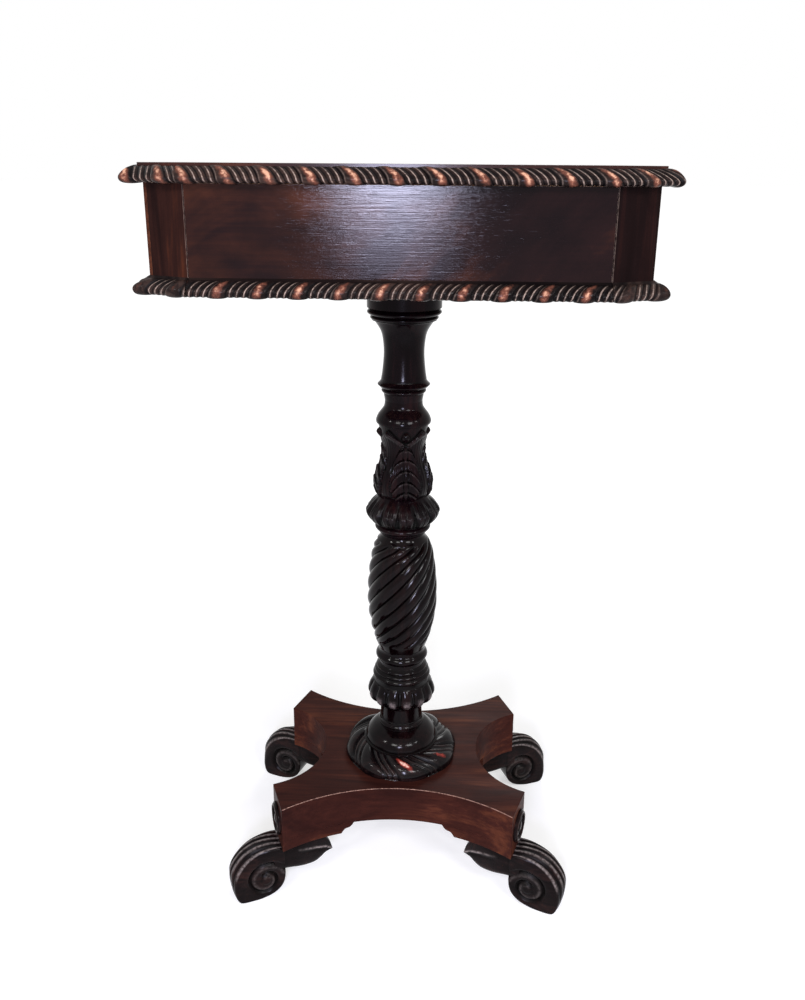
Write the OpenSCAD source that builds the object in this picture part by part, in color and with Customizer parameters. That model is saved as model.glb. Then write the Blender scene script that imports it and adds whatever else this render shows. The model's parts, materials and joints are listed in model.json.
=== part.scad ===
// Lamp table: an octagonal gadrooned top over a frieze with one hidden drawer, on a turned and
// carved column, a hollow-sided platform and four scroll feet.
// The origin is on the floor under the column. The drawer opens towards -Y. Sizes are in millimetres.

/* [Overall] */
// Height of the table top above the floor
table_h = 740; // [700:1:780]
// Width of the frieze box
frieze_w = 411; // [390:1:440]
// Depth of the frieze box
frieze_d = 290; // [276:1:310]

/* [Top] */
// Thickness of the top board
top_t = 15; // [13:0.5:18]
// How far the flat of the top stands out past the frieze
board_lip = 3; // [2:0.5:5]
// Width of the gadrooned moulding round the top
top_moulding_w = 13.5; // [12:0.5:17]
// Drop from the flat of the top to the moulding
top_fillet = 2; // [1:0.5:3]
// Length of one gadroon repeat: a broad lobe and three reeds
gadroon_pitch = 32.5; // [28:0.5:38]
// How far the broad lobes stand out
lobe_rise = 2.4; // [1.5:0.1:3]

/* [Frieze] */
// Height of the plain veneered frieze
frieze_h = 73; // [68:1:84]
// Height of the gadrooned moulding under the frieze
low_moulding_h = 15; // [13:0.5:18]
// How far the lower moulding stands out
low_moulding_w = 13; // [11:0.5:15]
// Width of each canted corner, seen from the front
cant_x = 36.3; // [33:0.1:40]
// Depth of each canted corner, seen from the side
cant_y = 17; // [14:0.5:20]
// Depth of the corner posts
post_d = 45; // [40:1:50]
// Thickness of the side and back panels
panel_t = 14; // [12:0.5:16]
// Thickness of the carcass bottom
bottom_t = 12; // [10:0.5:14]
// Height of the rail over the drawer
rail_h = 14; // [12:0.5:16]
// Depth of the rail over the drawer
rail_d = 26; // [22:1:30]
// Side of the square bearer block over the column
bearer_w = 140; // [120:1:144]
// Thickness of the bearer block
bearer_t = 14; // [12:0.5:16]

/* [Drawer] */
// Thickness of the drawer front
front_t = 18; // [16:0.5:20]
// Thickness of the drawer sides and back
side_t = 10; // [8:0.5:12]
// Depth of the drawer behind its front
drawer_len = 222; // [205:1:228]
// Thickness of the drawer bottom
tray_t = 6; // [5:0.5:7]
// Height of the runners that the drawer slides on
runner_t = 5; // [4:0.5:7]
// Gap round the drawer front
front_gap = 0.6; // [0.4:0.1:1]
// Running gap under and beside the drawer
run_gap = 0.3; // [0.2:0.1:0.5]

/* [Column] */
// Height of the carved vase section
vase_h = 142.5; // [138:0.1:150]
// Height of the twisted section
twist_h = 150.7; // [146:0.1:158]
// Height of the lower section, from the platform up
lower_h = 113; // [109:0.1:119]
// Diameter of the capital
capital_d = 73; // [68:0.5:80]
// Diameter of the waist under the capital
waist_d = 41; // [38:0.2:44]
// Diameter of the carved vase
vase_d = 59; // [56:0.2:62]
// How far the carved leaves stand out of the vase
leaf_rise = 2.4; // [1.5:0.1:3]
// Diameter of the leaf collar under the vase
collar_d = 76.5; // [72:0.5:80]
// Diameter of the twisted baluster
twist_d = 75; // [71:0.5:80]
// Number of twisted lobes
twist_lobes = 12; // [10:1:14]
// Turn of each lobe from the bottom to the top
twist_turn = 240; // [200:5:280]
// Diameter of the gadrooned knop
knop_d = 73.4; // [69:0.2:78]
// Number of lobes round the knop
knop_lobes = 14; // [10:1:16]
// Diameter of the dome at the foot of the column
dome_d = 78; // [74:0.5:82]
// Diameter of the gadrooned collar on the platform
ring_d = 126; // [118:0.5:132]
// Height of the gadrooned collar on the platform
ring_h = 17; // [15:0.5:19]
// Number of swirled repeats round the platform collar, each a broad lobe and three reeds
ring_repeats = 8; // [6:1:10]
// Diameter of the through tenons at both ends of the column
tenon_d = 30; // [26:0.5:32]
// Diameter of the tenons between the column sections
spigot_d = 18; // [16:0.5:20]
// Length of the tenons between the column sections
spigot_h = 24; // [18:1:30]

/* [Platform and feet] */
// Width of the platform over its corners
slab_w = 267.2; // [255:0.2:280]
// Depth of the platform over its corners
slab_d = 223.4; // [215:0.2:232]
// Thickness of the platform
slab_t = 40; // [36:1:44]
// How far each corner's end face runs in along the width
end_x = 15.9; // [14:0.1:18]
// How far each corner's end face runs along the depth
end_y = 41.2; // [38:0.1:44]
// Depth of the hollow in the long sides
hollow_long = 39.7; // [34:0.1:44]
// Depth of the hollow in the short sides
hollow_short = 48.6; // [44:0.1:52]
// Thickness of the corner pads under the platform
pad_t = 12; // [10:0.5:15]
// Where the corner pads end, from the middle of the width
pad_in = 47; // [42:0.5:50]
// Height of the scroll feet
foot_h = 60; // [56:0.5:66]
// Width of each foot
foot_w = 33; // [30:0.5:35]
// How far each foot reaches past the platform's end face
foot_reach = 54; // [49:0.5:58]
// Length of the leaf that carries each foot under its pad
foot_leaf = 58; // [53:0.5:61]
// Number of reeds over each foot
foot_reeds = 5; // [4:1:6]
// Diameter of the carved roundels on the platform's end faces
roundel_d = 34; // [30:0.5:38]
// How far the roundels stand out
roundel_t = 4; // [3:0.5:5]

/* [Hidden] */

$fn = 64;
mahogany = [0.30, 0.12, 0.06];
dark_wood = [0.14, 0.06, 0.04];
red_wood = [0.45, 0.21, 0.12];
pale_wood = [0.68, 0.52, 0.34];
steel = [0.55, 0.53, 0.50];

// A glued round tenon is this much thinner than its socket, all round
fit = 0.05;
// Cuts run this far past the faces that they open
over = 1;
// A turned end stands this much proud of the carving that meets it
lap = 0.4;

// Heights, from the floor up and from the top down
pad_z = foot_h;
slab_z = pad_z + pad_t;
slab_top = slab_z + slab_t;
twist_z = slab_top + lower_h;
vase_z = twist_z + twist_h;
stem_z = vase_z + vase_h;
board_z = table_h - top_t;
low_z = board_z - frieze_h - low_moulding_h;
// The carcass bottom is set up a little inside the lower moulding
bottom_set = 3;
bottom_z = low_z + bottom_set;
bearer_z = bottom_z - bearer_t;
runner_z = bottom_z + bottom_t;
drawer_z = runner_z + runner_t + run_gap;
rail_z = board_z - rail_h;
// Height of the drawer's sides, under the rail and kickers with the same running gap
side_h = rail_z - run_gap - drawer_z;

// Half sizes of the frieze and the places of its corners
half_w = frieze_w / 2;
half_d = frieze_d / 2;
cant_len = norm([cant_x, cant_y]);
post_in = half_w - cant_x;
post_y = half_d - post_d;
panel_in = half_w - panel_t;

// Drawer
front_half = post_in - front_gap;
front_top = board_z - front_gap;
front_back = -half_d + front_t;
box_inset = 0.4;
box_half = front_half - box_inset;
drawer_back_y = front_back + drawer_len;
runner_w = 16;
guide_w = 8;
guide_h = 14;
stop_size = 14;
tail_len = 9;
tail_flare = 1.6;
tails = 3;
groove = 4;
// The grooves for the tray lie this far up the sides
groove_up = 4;
nail_r = 1;
nail_len = 16;
nail_head_r = 2;
nail_head_t = 0.8;

// Screws and dowels
screw_r = 2;
screw_head_r = 4;
screw_head_t = 2.5;
screw_bite = 8;
dowel_r = 4;
dowel_half = 11;
// What is left of the pad over each dowel
dowel_cover = 3;

// Column details
tenon_r = tenon_d / 2;
spigot_r = spigot_d / 2;
socket_floor = 1;
wedge_len = 18;
wedge_thick = 3;
wedge_thin = 1.2;
dome_spigot_r = 30;
round_sides = 48;

// Platform corners
corner_x = slab_w / 2 - end_x;
corner_y = slab_d / 2;
side_x = slab_w / 2;
side_y = slab_d / 2 - end_y;
end_mid = [(corner_x + side_x) / 2, (corner_y + side_y) / 2];
end_angle = atan2(end_x, end_y);
pad_ogee = 13;
pad_inner_y = 40;

// Corners of the octagon that lies a distance out from the frieze, counted from the front left
function cant_end_x(out) = post_in + out * (cant_len - cant_x) / cant_y;
function cant_end_y(out) = half_d - cant_y + out * (cant_len - cant_y) / cant_x;
function octagon_corner(i, out) =
    i == 0 ? [-cant_end_x(out), -half_d - out] :
    i == 1 ? [cant_end_x(out), -half_d - out] :
    i == 2 ? [half_w + out, -cant_end_y(out)] :
    i == 3 ? [half_w + out, cant_end_y(out)] :
    i == 4 ? [cant_end_x(out), half_d + out] :
    i == 5 ? [-cant_end_x(out), half_d + out] :
    i == 6 ? [-half_w - out, cant_end_y(out)] :
    [-half_w - out, -cant_end_y(out)];
function octagon(out) = [for (i = [0 : 7]) octagon_corner(i, out)];

// Beside the drawer the lower moulding is cut off square, so that the drawer can slide out
function low_corner(i, out) =
    i == 0 ? [-post_in, -half_d - out * cant_len / cant_x] :
    i == 1 ? [post_in, -half_d - out * cant_len / cant_x] :
    octagon_corner(i, out);
function drawer_corner(i, out) = [(i == 0 ? -1 : 1) * front_half, -half_d - out];
function corner_at(kind, i, out) =
    kind == "top" ? octagon_corner(i, out) :
    kind == "low" ? low_corner(i, out) :
    drawer_corner(i, out);

// A smooth line through the knots, with n steps between each pair
function blend(a, b, c, d, t) = 0.5 * (2 * b + (c - a) * t
    + (2 * a - 5 * b + 4 * c - d) * t * t
    + (3 * b - a - 3 * c + d) * t * t * t);
function knot(k, i) = k[max(0, min(len(k) - 1, i))];
function curve(k, n) = concat(
    [for (i = [0 : len(k) - 2], j = [0 : n - 1])
        blend(knot(k, i - 1), k[i], k[i + 1], knot(k, i + 2), j / n)],
    [k[len(k) - 1]]);

// A half-round swelling from one height to the next on a turned outline
function bead(r, rise, z0, z1, n = 6) =
    [for (i = [0 : n]) [r + rise * sin(180 * i / n), z0 + (z1 - z0) * i / n]];

// A solid through a stack of rings that all have the same number of points
module stack(rings) {
    n = len(rings[0]);
    m = len(rings);
    points = [for (ring = rings, p = ring) p];
    sides = [for (i = [0 : m - 2], j = [0 : n - 1], half = [0, 1])
        let (a = i * n + j, b = i * n + (j + 1) % n)
        half == 0 ? [a, a + n, b] : [b, a + n, b + n]];
    ends = [[for (j = [0 : n - 1]) j], [for (j = [n - 1 : -1 : 0]) (m - 1) * n + j]];
    polyhedron(points = points, faces = concat(sides, ends));
}

module turned(outline) {
    rotate_extrude() polygon(concat([[0, outline[0][1]]], outline, [[0, outline[len(outline) - 1][1]]]));
}

module at_corner(side, front) {
    mirror([side < 0 ? 1 : 0, 0, 0]) mirror([0, front < 0 ? 1 : 0, 0]) children();
}

// Gadrooned mouldings. Across one repeat the outline swells as a broad lobe and three reeds.
lobe_share = 0.43;
reed_rise = 0.4;
repeat_steps = [
    [0, 0], [0.11, 0.75], [0.215, 1], [0.32, 0.75], [0.43, 0],
    [0.525, reed_rise], [0.62, 0], [0.715, reed_rise], [0.81, 0], [0.905, reed_rise]
];
gadroon_end = 5;
function gadroon_stations(length) =
    let (n = max(1, round((length - 2 * gadroon_end) / gadroon_pitch)))
    let (pitch = (length - 2 * gadroon_end) / n)
    concat([[0, 0]],
        [for (i = [0 : n - 1], s = repeat_steps) [gadroon_end + pitch * (i + s[0]), s[1]]],
        [[length - gadroon_end, 0], [length, 0]]);

// kind says where the strip's ends are, edge counts the octagon's sides, and lean tilts the lobes
module gadroon_strip(kind, edge, out, width, z0, z1, lean) {
    height = z1 - z0;
    base = width - lobe_rise;
    // Outline across the strip: distance out, height, share of the swelling, counted round
    section = kind == "top" ?
        [[0, z0, 0], [base * 0.72, z0, 0.35], [base, z0 + height * 0.42, 1],
         [base * 0.8, z1 - height * 0.12, 1], [0, z1, 0]] :
        [[0, z0, 0], [base * 0.75, z0, 0.5], [base, z0 + height * 0.34, 1],
         [base * 0.62, z0 + height * 0.74, 0.9], [0, z1, 0]];
    a = corner_at(kind, edge, out);
    b = corner_at(kind, (edge + 1) % 8, out);
    length = norm(b - a);
    stations = gadroon_stations(length);
    last = len(stations) - 1;
    stack([for (k = [0 : last]) [for (p = section)
        let (d = out + p[0] + lobe_rise * p[2] * stations[k][1])
        let (shift = k == 0 || k == last ? 0 : lean * (p[1] - z0 - height / 2))
        let (t = (stations[k][0] + shift) / length)
        let (q = corner_at(kind, edge, d) * (1 - t) + corner_at(kind, (edge + 1) % 8, d) * t)
        [q[0], q[1], p[1]]]]);
}

module top_gadroon(edge) {
    gadroon_strip("top", edge, board_lip, top_moulding_w, board_z, table_h - top_fillet, -0.35);
}

module low_gadroon(kind, edge) {
    gadroon_strip(kind, edge, 0, low_moulding_w, low_z, low_z + low_moulding_h, 0.35);
}

module top_gadroon_front() { color(mahogany) top_gadroon(0); }
module top_gadroon_back() { color(mahogany) top_gadroon(4); }
module top_gadroon_left() { color(mahogany) top_gadroon(6); }
module top_gadroon_right() { color(mahogany) top_gadroon(2); }
module top_gadroon_corners() {
    color(mahogany) for (edge = [1, 3, 5, 7]) top_gadroon(edge);
}
module low_gadroon_back() { color(mahogany) low_gadroon("low", 4); }
module low_gadroon_left() { color(mahogany) low_gadroon("low", 6); }
module low_gadroon_right() { color(mahogany) low_gadroon("low", 2); }
module low_gadroon_corners() {
    color(mahogany) for (edge = [1, 3, 5, 7]) low_gadroon("low", edge);
}
module drawer_gadroon() { color(mahogany) low_gadroon("drawer", 0); }

// Top board and the screws that hold it
rail_screws = [[-0.6, 0], [0.6, 0]];
kicker_w = panel_in - box_half + runner_w;
kicker_mid = panel_in - kicker_w / 2;
kicker_screw_y = post_y * 0.7;
rail_mid_y = front_back + run_gap + rail_d / 2;
screw_places = concat(
    [for (s = rail_screws) [s[0] * post_in, rail_mid_y]],
    [for (side = [-1, 1], end = [-1, 1]) [side * kicker_mid, end * kicker_screw_y]]);

module screw(length, gap = 0) {
    cylinder(r = screw_r + gap, h = length);
    translate([0, 0, -gap]) cylinder(r = screw_head_r + gap, h = screw_head_t + gap);
}

module top_screw_set(gap = 0) {
    for (p = screw_places) translate([p[0], p[1], rail_z]) screw(rail_h + screw_bite, gap);
}

module top_screws() { color(steel) top_screw_set(); }

module top_board() {
    color(mahogany) difference() {
        translate([0, 0, board_z]) linear_extrude(top_t) polygon(octagon(board_lip));
        top_screw_set(fit);
    }
}

// Frieze carcass
module corner_post() {
    color(dark_wood) translate([0, 0, low_z]) linear_extrude(board_z - low_z)
        polygon([[post_in, half_d], [post_in, post_y], [half_w, post_y], [half_w, half_d - cant_y]]);
}

module corner_post_front_left() { at_corner(-1, -1) corner_post(); }
module corner_post_front_right() { at_corner(1, -1) corner_post(); }
module corner_post_back_left() { at_corner(-1, 1) corner_post(); }
module corner_post_back_right() { at_corner(1, 1) corner_post(); }

module side_panel() {
    color(dark_wood) translate([panel_in, -post_y, low_z]) cube([panel_t, 2 * post_y, board_z - low_z]);
}
module side_panel_left() { mirror([1, 0, 0]) side_panel(); }
module side_panel_right() { side_panel(); }

module back_panel() {
    color(dark_wood) translate([-post_in, half_d - panel_t, low_z])
        cube([2 * post_in, panel_t, board_z - low_z]);
}

module bearer_screw_set(gap = 0) {
    inset = bearer_w / 2 - 3 * screw_head_r;
    for (x = [-inset, inset], y = [-inset, inset])
        translate([x, y, bearer_z]) screw(bearer_t + screw_bite, gap);
}
module bearer_screws() { color(steel) bearer_screw_set(); }

module top_tenon() {
    translate([0, 0, bearer_z - over]) cylinder(r = tenon_r, h = runner_z - bearer_z + over);
}
module tenon_hole(z, h) {
    translate([0, 0, z - over]) cylinder(r = tenon_r + fit, h = h + 2 * over);
}

module carcass_bottom() {
    front = front_back + run_gap;
    color(pale_wood) difference() {
        translate([0, 0, bottom_z]) union() {
            translate([-post_in, front, 0]) cube([2 * post_in, half_d - panel_t - front, bottom_t]);
            translate([-panel_in, -post_y, 0]) cube([2 * panel_in, 2 * post_y, bottom_t]);
        }
        tenon_hole(bottom_z, bottom_t);
        bearer_screw_set(fit);
    }
}

module bearer_block() {
    color(dark_wood) difference() {
        translate([-bearer_w / 2, -bearer_w / 2, bearer_z]) cube([bearer_w, bearer_w, bearer_t]);
        tenon_hole(bearer_z, bearer_t);
        bearer_screw_set(fit);
    }
}

module front_rail() {
    color(pale_wood) difference() {
        translate([-post_in, front_back + run_gap, rail_z]) cube([2 * post_in, rail_d, rail_h]);
        top_screw_set(fit);
    }
}

module runner() {
    color(pale_wood) translate([box_half - runner_w, -post_y, runner_z])
        cube([panel_in - box_half + runner_w, 2 * post_y, runner_t]);
}
module runner_left() { mirror([1, 0, 0]) runner(); }
module runner_right() { runner(); }

module guide() {
    color(pale_wood) translate([box_half + run_gap, -post_y, runner_z + runner_t])
        cube([guide_w, 2 * post_y, guide_h]);
}
module guide_left() { mirror([1, 0, 0]) guide(); }
module guide_right() { guide(); }

module kicker() {
    translate([panel_in - kicker_w, -post_y, rail_z]) cube([kicker_w, 2 * post_y, rail_h]);
}
module kicker_left() {
    color(pale_wood) difference() {
        mirror([1, 0, 0]) kicker();
        top_screw_set(fit);
    }
}
module kicker_right() {
    color(pale_wood) difference() {
        kicker();
        top_screw_set(fit);
    }
}

// The stops fill the room between the closed drawer and the back panel
module drawer_stops() {
    front = drawer_back_y + run_gap;
    color(pale_wood) for (side = [-1, 1])
        translate([side * (box_half - runner_w - stop_size) - stop_size / 2, front, runner_z])
            cube([stop_size, half_d - panel_t - front, stop_size]);
}

// Drawer: dovetailed sides, a grooved-in tray and a front that hides the carcass edges
module drawer_side_solid() {
    pitch = side_h / tails;
    translate([box_half - side_t, 0, drawer_z]) difference() {
        union() {
            translate([0, front_back, 0]) cube([side_t, drawer_len, side_h]);
            for (i = [0 : tails - 1]) translate([0, front_back, (i + 0.5) * pitch])
                rotate([90, 0, 90]) linear_extrude(side_t) polygon([
                    [0, -pitch / 4], [0, pitch / 4],
                    [-tail_len, pitch / 4 + tail_flare], [-tail_len, -pitch / 4 - tail_flare]]);
        }
        translate([-over, front_back - groove, groove_up])
            cube([groove + over, drawer_len + groove + over, tray_t]);
    }
}
module drawer_side_left() { color(pale_wood) mirror([1, 0, 0]) drawer_side_solid(); }
module drawer_side_right() { color(pale_wood) drawer_side_solid(); }

module drawer_front() {
    color(mahogany) difference() {
        translate([-front_half, -half_d, low_z]) cube([2 * front_half, front_t, front_top - low_z]);
        drawer_side_solid();
        mirror([1, 0, 0]) drawer_side_solid();
        tray_solid();
    }
}

module tray_solid() {
    half = box_half - side_t + groove;
    translate([-half, front_back - groove, drawer_z + groove_up])
        cube([2 * half, drawer_len + groove, tray_t]);
}

module drawer_nail_set(gap = 0) {
    for (x = [-0.7, 0, 0.7]) translate([x * box_half, drawer_back_y - side_t / 2, drawer_z + groove_up]) {
        cylinder(r = nail_r + gap, h = nail_len);
        translate([0, 0, -gap]) cylinder(r = nail_head_r + gap, h = nail_head_t + gap);
    }
}
module drawer_nails() { color(steel) drawer_nail_set(); }

module drawer_bottom() {
    color(pale_wood) difference() {
        tray_solid();
        drawer_nail_set(fit);
    }
}

module drawer_back() {
    inner = box_half - side_t;
    up = groove_up + tray_t;
    color(pale_wood) difference() {
        translate([-inner, drawer_back_y - side_t, drawer_z + up]) cube([2 * inner, side_t, side_h - up]);
        drawer_nail_set(fit);
    }
}

// Column. Each section has a tenon below that seats in a socket in the next one.
module spigot(z, gap = 0) {
    translate([0, 0, z - spigot_h - gap]) cylinder(r = spigot_r + gap, h = spigot_h + gap + over);
}

module socket(z) {
    translate([0, 0, z - spigot_h - socket_floor])
        cylinder(r = spigot_r + fit, h = spigot_h + socket_floor + over);
}

capital_r = capital_d / 2;
waist_r = waist_d / 2;
upper_neck_r = 18.9;
// The waist takes up the height between the neck rings and the capital
shaft_low = stem_z + 22;
shaft = bearer_z - 38.3 - shaft_low;

module wedge_up(r) {
    rotate([90, 0, 0]) translate([0, 0, -r]) linear_extrude(2 * r) polygon([
        [-wedge_thin / 2, -wedge_len], [wedge_thin / 2, -wedge_len],
        [wedge_thick / 2, 0], [-wedge_thick / 2, 0]]);
}
module top_wedge() {
    intersection() {
        translate([0, 0, runner_z]) wedge_up(tenon_r);
        top_tenon();
    }
}
module low_wedge() {
    intersection() {
        translate([0, 0, slab_z]) mirror([0, 0, 1]) wedge_up(tenon_r);
        translate([0, 0, slab_z]) cylinder(r = tenon_r, h = slab_t);
    }
}
module tenon_wedges() {
    color(pale_wood) {
        top_wedge();
        low_wedge();
    }
}

module upper_stem() {
    outline = concat(
        [[upper_neck_r, stem_z], [upper_neck_r + 1.4, stem_z + 8]],
        bead(upper_neck_r + 2, 1.4, stem_z + 8, stem_z + 12),
        bead(upper_neck_r + 4, 3.4, stem_z + 12.5, stem_z + 20),
        curve([[upper_neck_r + 4, shaft_low], [waist_r + 1.3, shaft_low + 0.18 * shaft],
            [waist_r, shaft_low + 0.53 * shaft], [waist_r + 0.9, shaft_low + 0.81 * shaft],
            [waist_r + 3, shaft_low + shaft], [capital_r - 7.4, bearer_z - 29.1],
            [capital_r - 4.4, bearer_z - 27.6]], 4),
        bead(capital_r - 4.4, 1.4, bearer_z - 27.2, bearer_z - 23.6),
        bead(capital_r - 3, 3, bearer_z - 23.1, bearer_z - 17),
        [[capital_r - 0.8, bearer_z - 16.2], [capital_r, bearer_z - 15.2], [capital_r, bearer_z]]);
    color(dark_wood) difference() {
        union() {
            turned(outline);
            spigot(stem_z);
            top_tenon();
        }
        top_wedge();
    }
}

// Carved vase: a water-leaf body with four standing acanthus leaves, over a flared collar of leaves
vase_r = vase_d / 2;
collar_r = collar_d / 2;
leaf_low = 45;
leaf_tip = 117;
leaf_half = 40;
vase_body = curve([[vase_r - 4, vase_z + 43], [vase_r - 1.2, vase_z + 49], [vase_r, vase_z + 58],
    [vase_r - 2.2, vase_z + 68.5], [vase_r - 6.2, vase_z + 79], [vase_r - 8.3, vase_z + 90],
    [vase_r - 7.5, vase_z + 101], [vase_r - 5.4, vase_z + 111.5], [vase_r - 3.4, vase_z + 119]], 2);

function leaf_at(up, turn) =
    let (share = max(0, min(1, (up - leaf_low) / (leaf_tip - leaf_low))))
    let (from_vein = abs(turn - 90 * round(turn / 90)))
    let (half = leaf_half * (1 - 0.75 * pow(share, 1.6)) * min(1, 0.55 + 2 * share))
    up <= leaf_low || up >= leaf_tip ? 0 :
    from_vein > half ? 0 :
    (0.35 + 0.65 * (1 - from_vein / half)) * (0.55 + 0.95 * pow(share, 3));

module carved_vase() {
    top = vase_body[len(vase_body) - 1];
    color(dark_wood) difference() {
        union() {
            turned(concat([[collar_r - 15.2, vase_z], [collar_r - 12.3, vase_z + 3.4]],
                bead(collar_r - 12.3, 3.6, vase_z + 4, vase_z + 13),
                curve([[collar_r - 8.1, vase_z + 13.5], [collar_r - 3, vase_z + 17.9],
                    [collar_r, vase_z + 24.6], [collar_r - 3.1, vase_z + 32.3],
                    [collar_r - 8, vase_z + 38]], 4),
                [[vase_r - 4 + lap, vase_z + 43]]));
            stack([for (p = vase_body) [for (j = [0 : round_sides - 1])
                let (turn = 360 * j / round_sides)
                let (r = p[0] + leaf_rise * leaf_at(p[1] - vase_z, turn))
                [r * cos(turn), r * sin(turn), p[1]]]]);
            turned(concat([[top[0] + lap, top[1]]],
                curve([[top[0] + 1.4, top[1] + 0.8], [vase_r - 1.8, vase_z + 122.6],
                    [vase_r - 4.1, vase_z + 128], [upper_neck_r + 1, stem_z - 6.7],
                    [upper_neck_r, stem_z]], 3)));
            spigot(vase_z);
        }
        socket(stem_z);
    }
}

// Twisted baluster between two turned beads
twist_r = twist_d / 2;
twist_rise = 3.2;
twist_sides = 4 * twist_lobes;
twist_low = 18;
twist_high = twist_h - 4;
twist_body = curve([[twist_r - 12.5, twist_z + twist_low], [twist_r - 5.5, twist_z + 38],
    [twist_r - 1, twist_z + 62], [twist_r, twist_z + 82], [twist_r - 1.2, twist_z + 106],
    [twist_r - 4.9, vase_z - 20], [twist_r - 8.8, vase_z - 9], [twist_r - 12.5, twist_z + twist_high]], 2);

module twist_baluster() {
    color(dark_wood) difference() {
        union() {
            turned(concat([[twist_r - 13, twist_z], [twist_r - 12.8, twist_z + 4]],
                bead(twist_r - 12, 3, twist_z + 4.6, twist_z + 14.4),
                [[twist_r - 12.5 + lap, twist_z + twist_low]]));
            stack([for (p = twist_body) [for (j = [0 : twist_sides - 1])
                let (share = (p[1] - twist_z - twist_low) / (twist_high - twist_low))
                let (depth = twist_rise * sqrt(max(0, sin(180 * share))))
                let (turn = 360 * j / twist_sides + twist_turn * share)
                let (r = p[0] - depth * (j % 4 == 0 ? 1 : j % 4 == 2 ? 0 : 0.3))
                [r * cos(turn), r * sin(turn), p[1]]]]);
            turned([[twist_r - 12.5 + lap, twist_z + twist_high], [twist_r - 14, vase_z - 2],
                [twist_r - 14.7, vase_z]]);
            spigot(twist_z);
        }
        socket(vase_z);
    }
}

// Lower section: a knop with drop lobes, a ringed neck and a dome on the platform collar
knop_r = knop_d / 2;
dome_r = dome_d / 2;
knop_sides = 4 * knop_lobes;
knop_rise = 2.6;
knop_low = slab_top + 56;
knop_top = slab_top + 84;
knop_body = curve([[knop_r - 14, knop_low], [knop_r - 8.6, slab_top + 61], [knop_r - 2.6, slab_top + 69],
    [knop_r, slab_top + 77], [knop_r - 1.6, knop_top]], 2);

module lower_stem() {
    color(dark_wood) difference() {
        union() {
            turned(concat([[dome_spigot_r, slab_top], [dome_spigot_r, slab_top + ring_h],
                [dome_r + 2, slab_top + ring_h], [dome_r + 2, slab_top + ring_h + 1.5],
                [dome_r, slab_top + ring_h + 2]],
                curve([[dome_r, slab_top + ring_h + 5], [dome_r - 2.4, slab_top + ring_h + 10],
                    [dome_r - 8, slab_top + ring_h + 15.5], [knop_r - 12.7, slab_top + ring_h + 19]], 3),
                bead(knop_r - 12.7, 1.2, slab_top + 38, slab_top + 42),
                [[knop_r - 13.2, slab_top + 44], [knop_r - 13.9, slab_top + 50],
                    [knop_r - 14 + lap, knop_low]]));
            stack([for (p = knop_body) [for (j = [0 : knop_sides - 1])
                let (share = (p[1] - knop_low) / (knop_top - knop_low))
                let (depth = knop_rise * sqrt(max(0, sin(180 * share))))
                let (turn = 360 * j / knop_sides)
                let (r = p[0] - depth * (j % 4 == 0 ? 1 : j % 4 == 2 ? 0 : 0.3))
                [r * cos(turn), r * sin(turn), p[1]]]]);
            turned(concat([[knop_r - 1.6 + lap, knop_top], [knop_r - 3, knop_top + 3]],
                curve([[knop_r - 5.6, knop_top + 7], [knop_r - 5.8, knop_top + 13],
                    [knop_r - 8.2, knop_top + 20.5], [twist_r - 13, twist_z]], 3)));
            translate([0, 0, slab_z]) cylinder(r = tenon_r, h = slab_t + over);
        }
        socket(twist_z);
        low_wedge();
    }
}

// Swirled gadroon collar on the platform
ring_r = ring_d / 2;
ring_rise = 2.2;
ring_swirl = 24;
ring_body = [[0, 0], [0.6, 0.12], [0.3, 0.42], [-4, 0.72], [-10, 0.9], [-17, 1]];

module base_collar() {
    color(mahogany) difference() {
        stack([for (i = [0 : len(ring_body) - 1]) [for (k = [0 : ring_repeats - 1], s = repeat_steps)
            let (p = ring_body[i])
            let (depth = ring_rise * sin(180 * min(1, 0.15 + i / 6)))
            let (turn = 360 * (k + s[0]) / ring_repeats - ring_swirl * p[1])
            let (r = ring_r - ring_rise + p[0] + depth * s[1])
            [r * cos(turn), r * sin(turn), slab_top + ring_h * p[1]]]]);
        translate([0, 0, slab_top - over]) cylinder(r = dome_spigot_r + fit, h = ring_h + 2 * over);
    }
}

// Platform: an octagon with its four long sides hollowed by arcs
function arc_radius(half, depth) = (half * half + depth * depth) / (2 * depth);

module platform_plan(z, h) {
    long_r = arc_radius(corner_x, hollow_long);
    short_r = arc_radius(side_y, hollow_short);
    difference() {
        translate([0, 0, z]) linear_extrude(h) polygon([
            [-corner_x, -corner_y], [corner_x, -corner_y], [side_x, -side_y], [side_x, side_y],
            [corner_x, corner_y], [-corner_x, corner_y], [-side_x, side_y], [-side_x, -side_y]]);
        for (s = [-1, 1]) {
            translate([0, s * (corner_y - hollow_long + long_r), z - over])
                cylinder(r = long_r, h = h + 2 * over, $fn = 256);
            translate([s * (side_x - hollow_short + short_r), 0, z - over])
                cylinder(r = short_r, h = h + 2 * over, $fn = 128);
        }
    }
}

module platform_slab() {
    color(red_wood) difference() {
        platform_plan(slab_z, slab_t);
        tenon_hole(slab_z, slab_t);
    }
}

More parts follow.
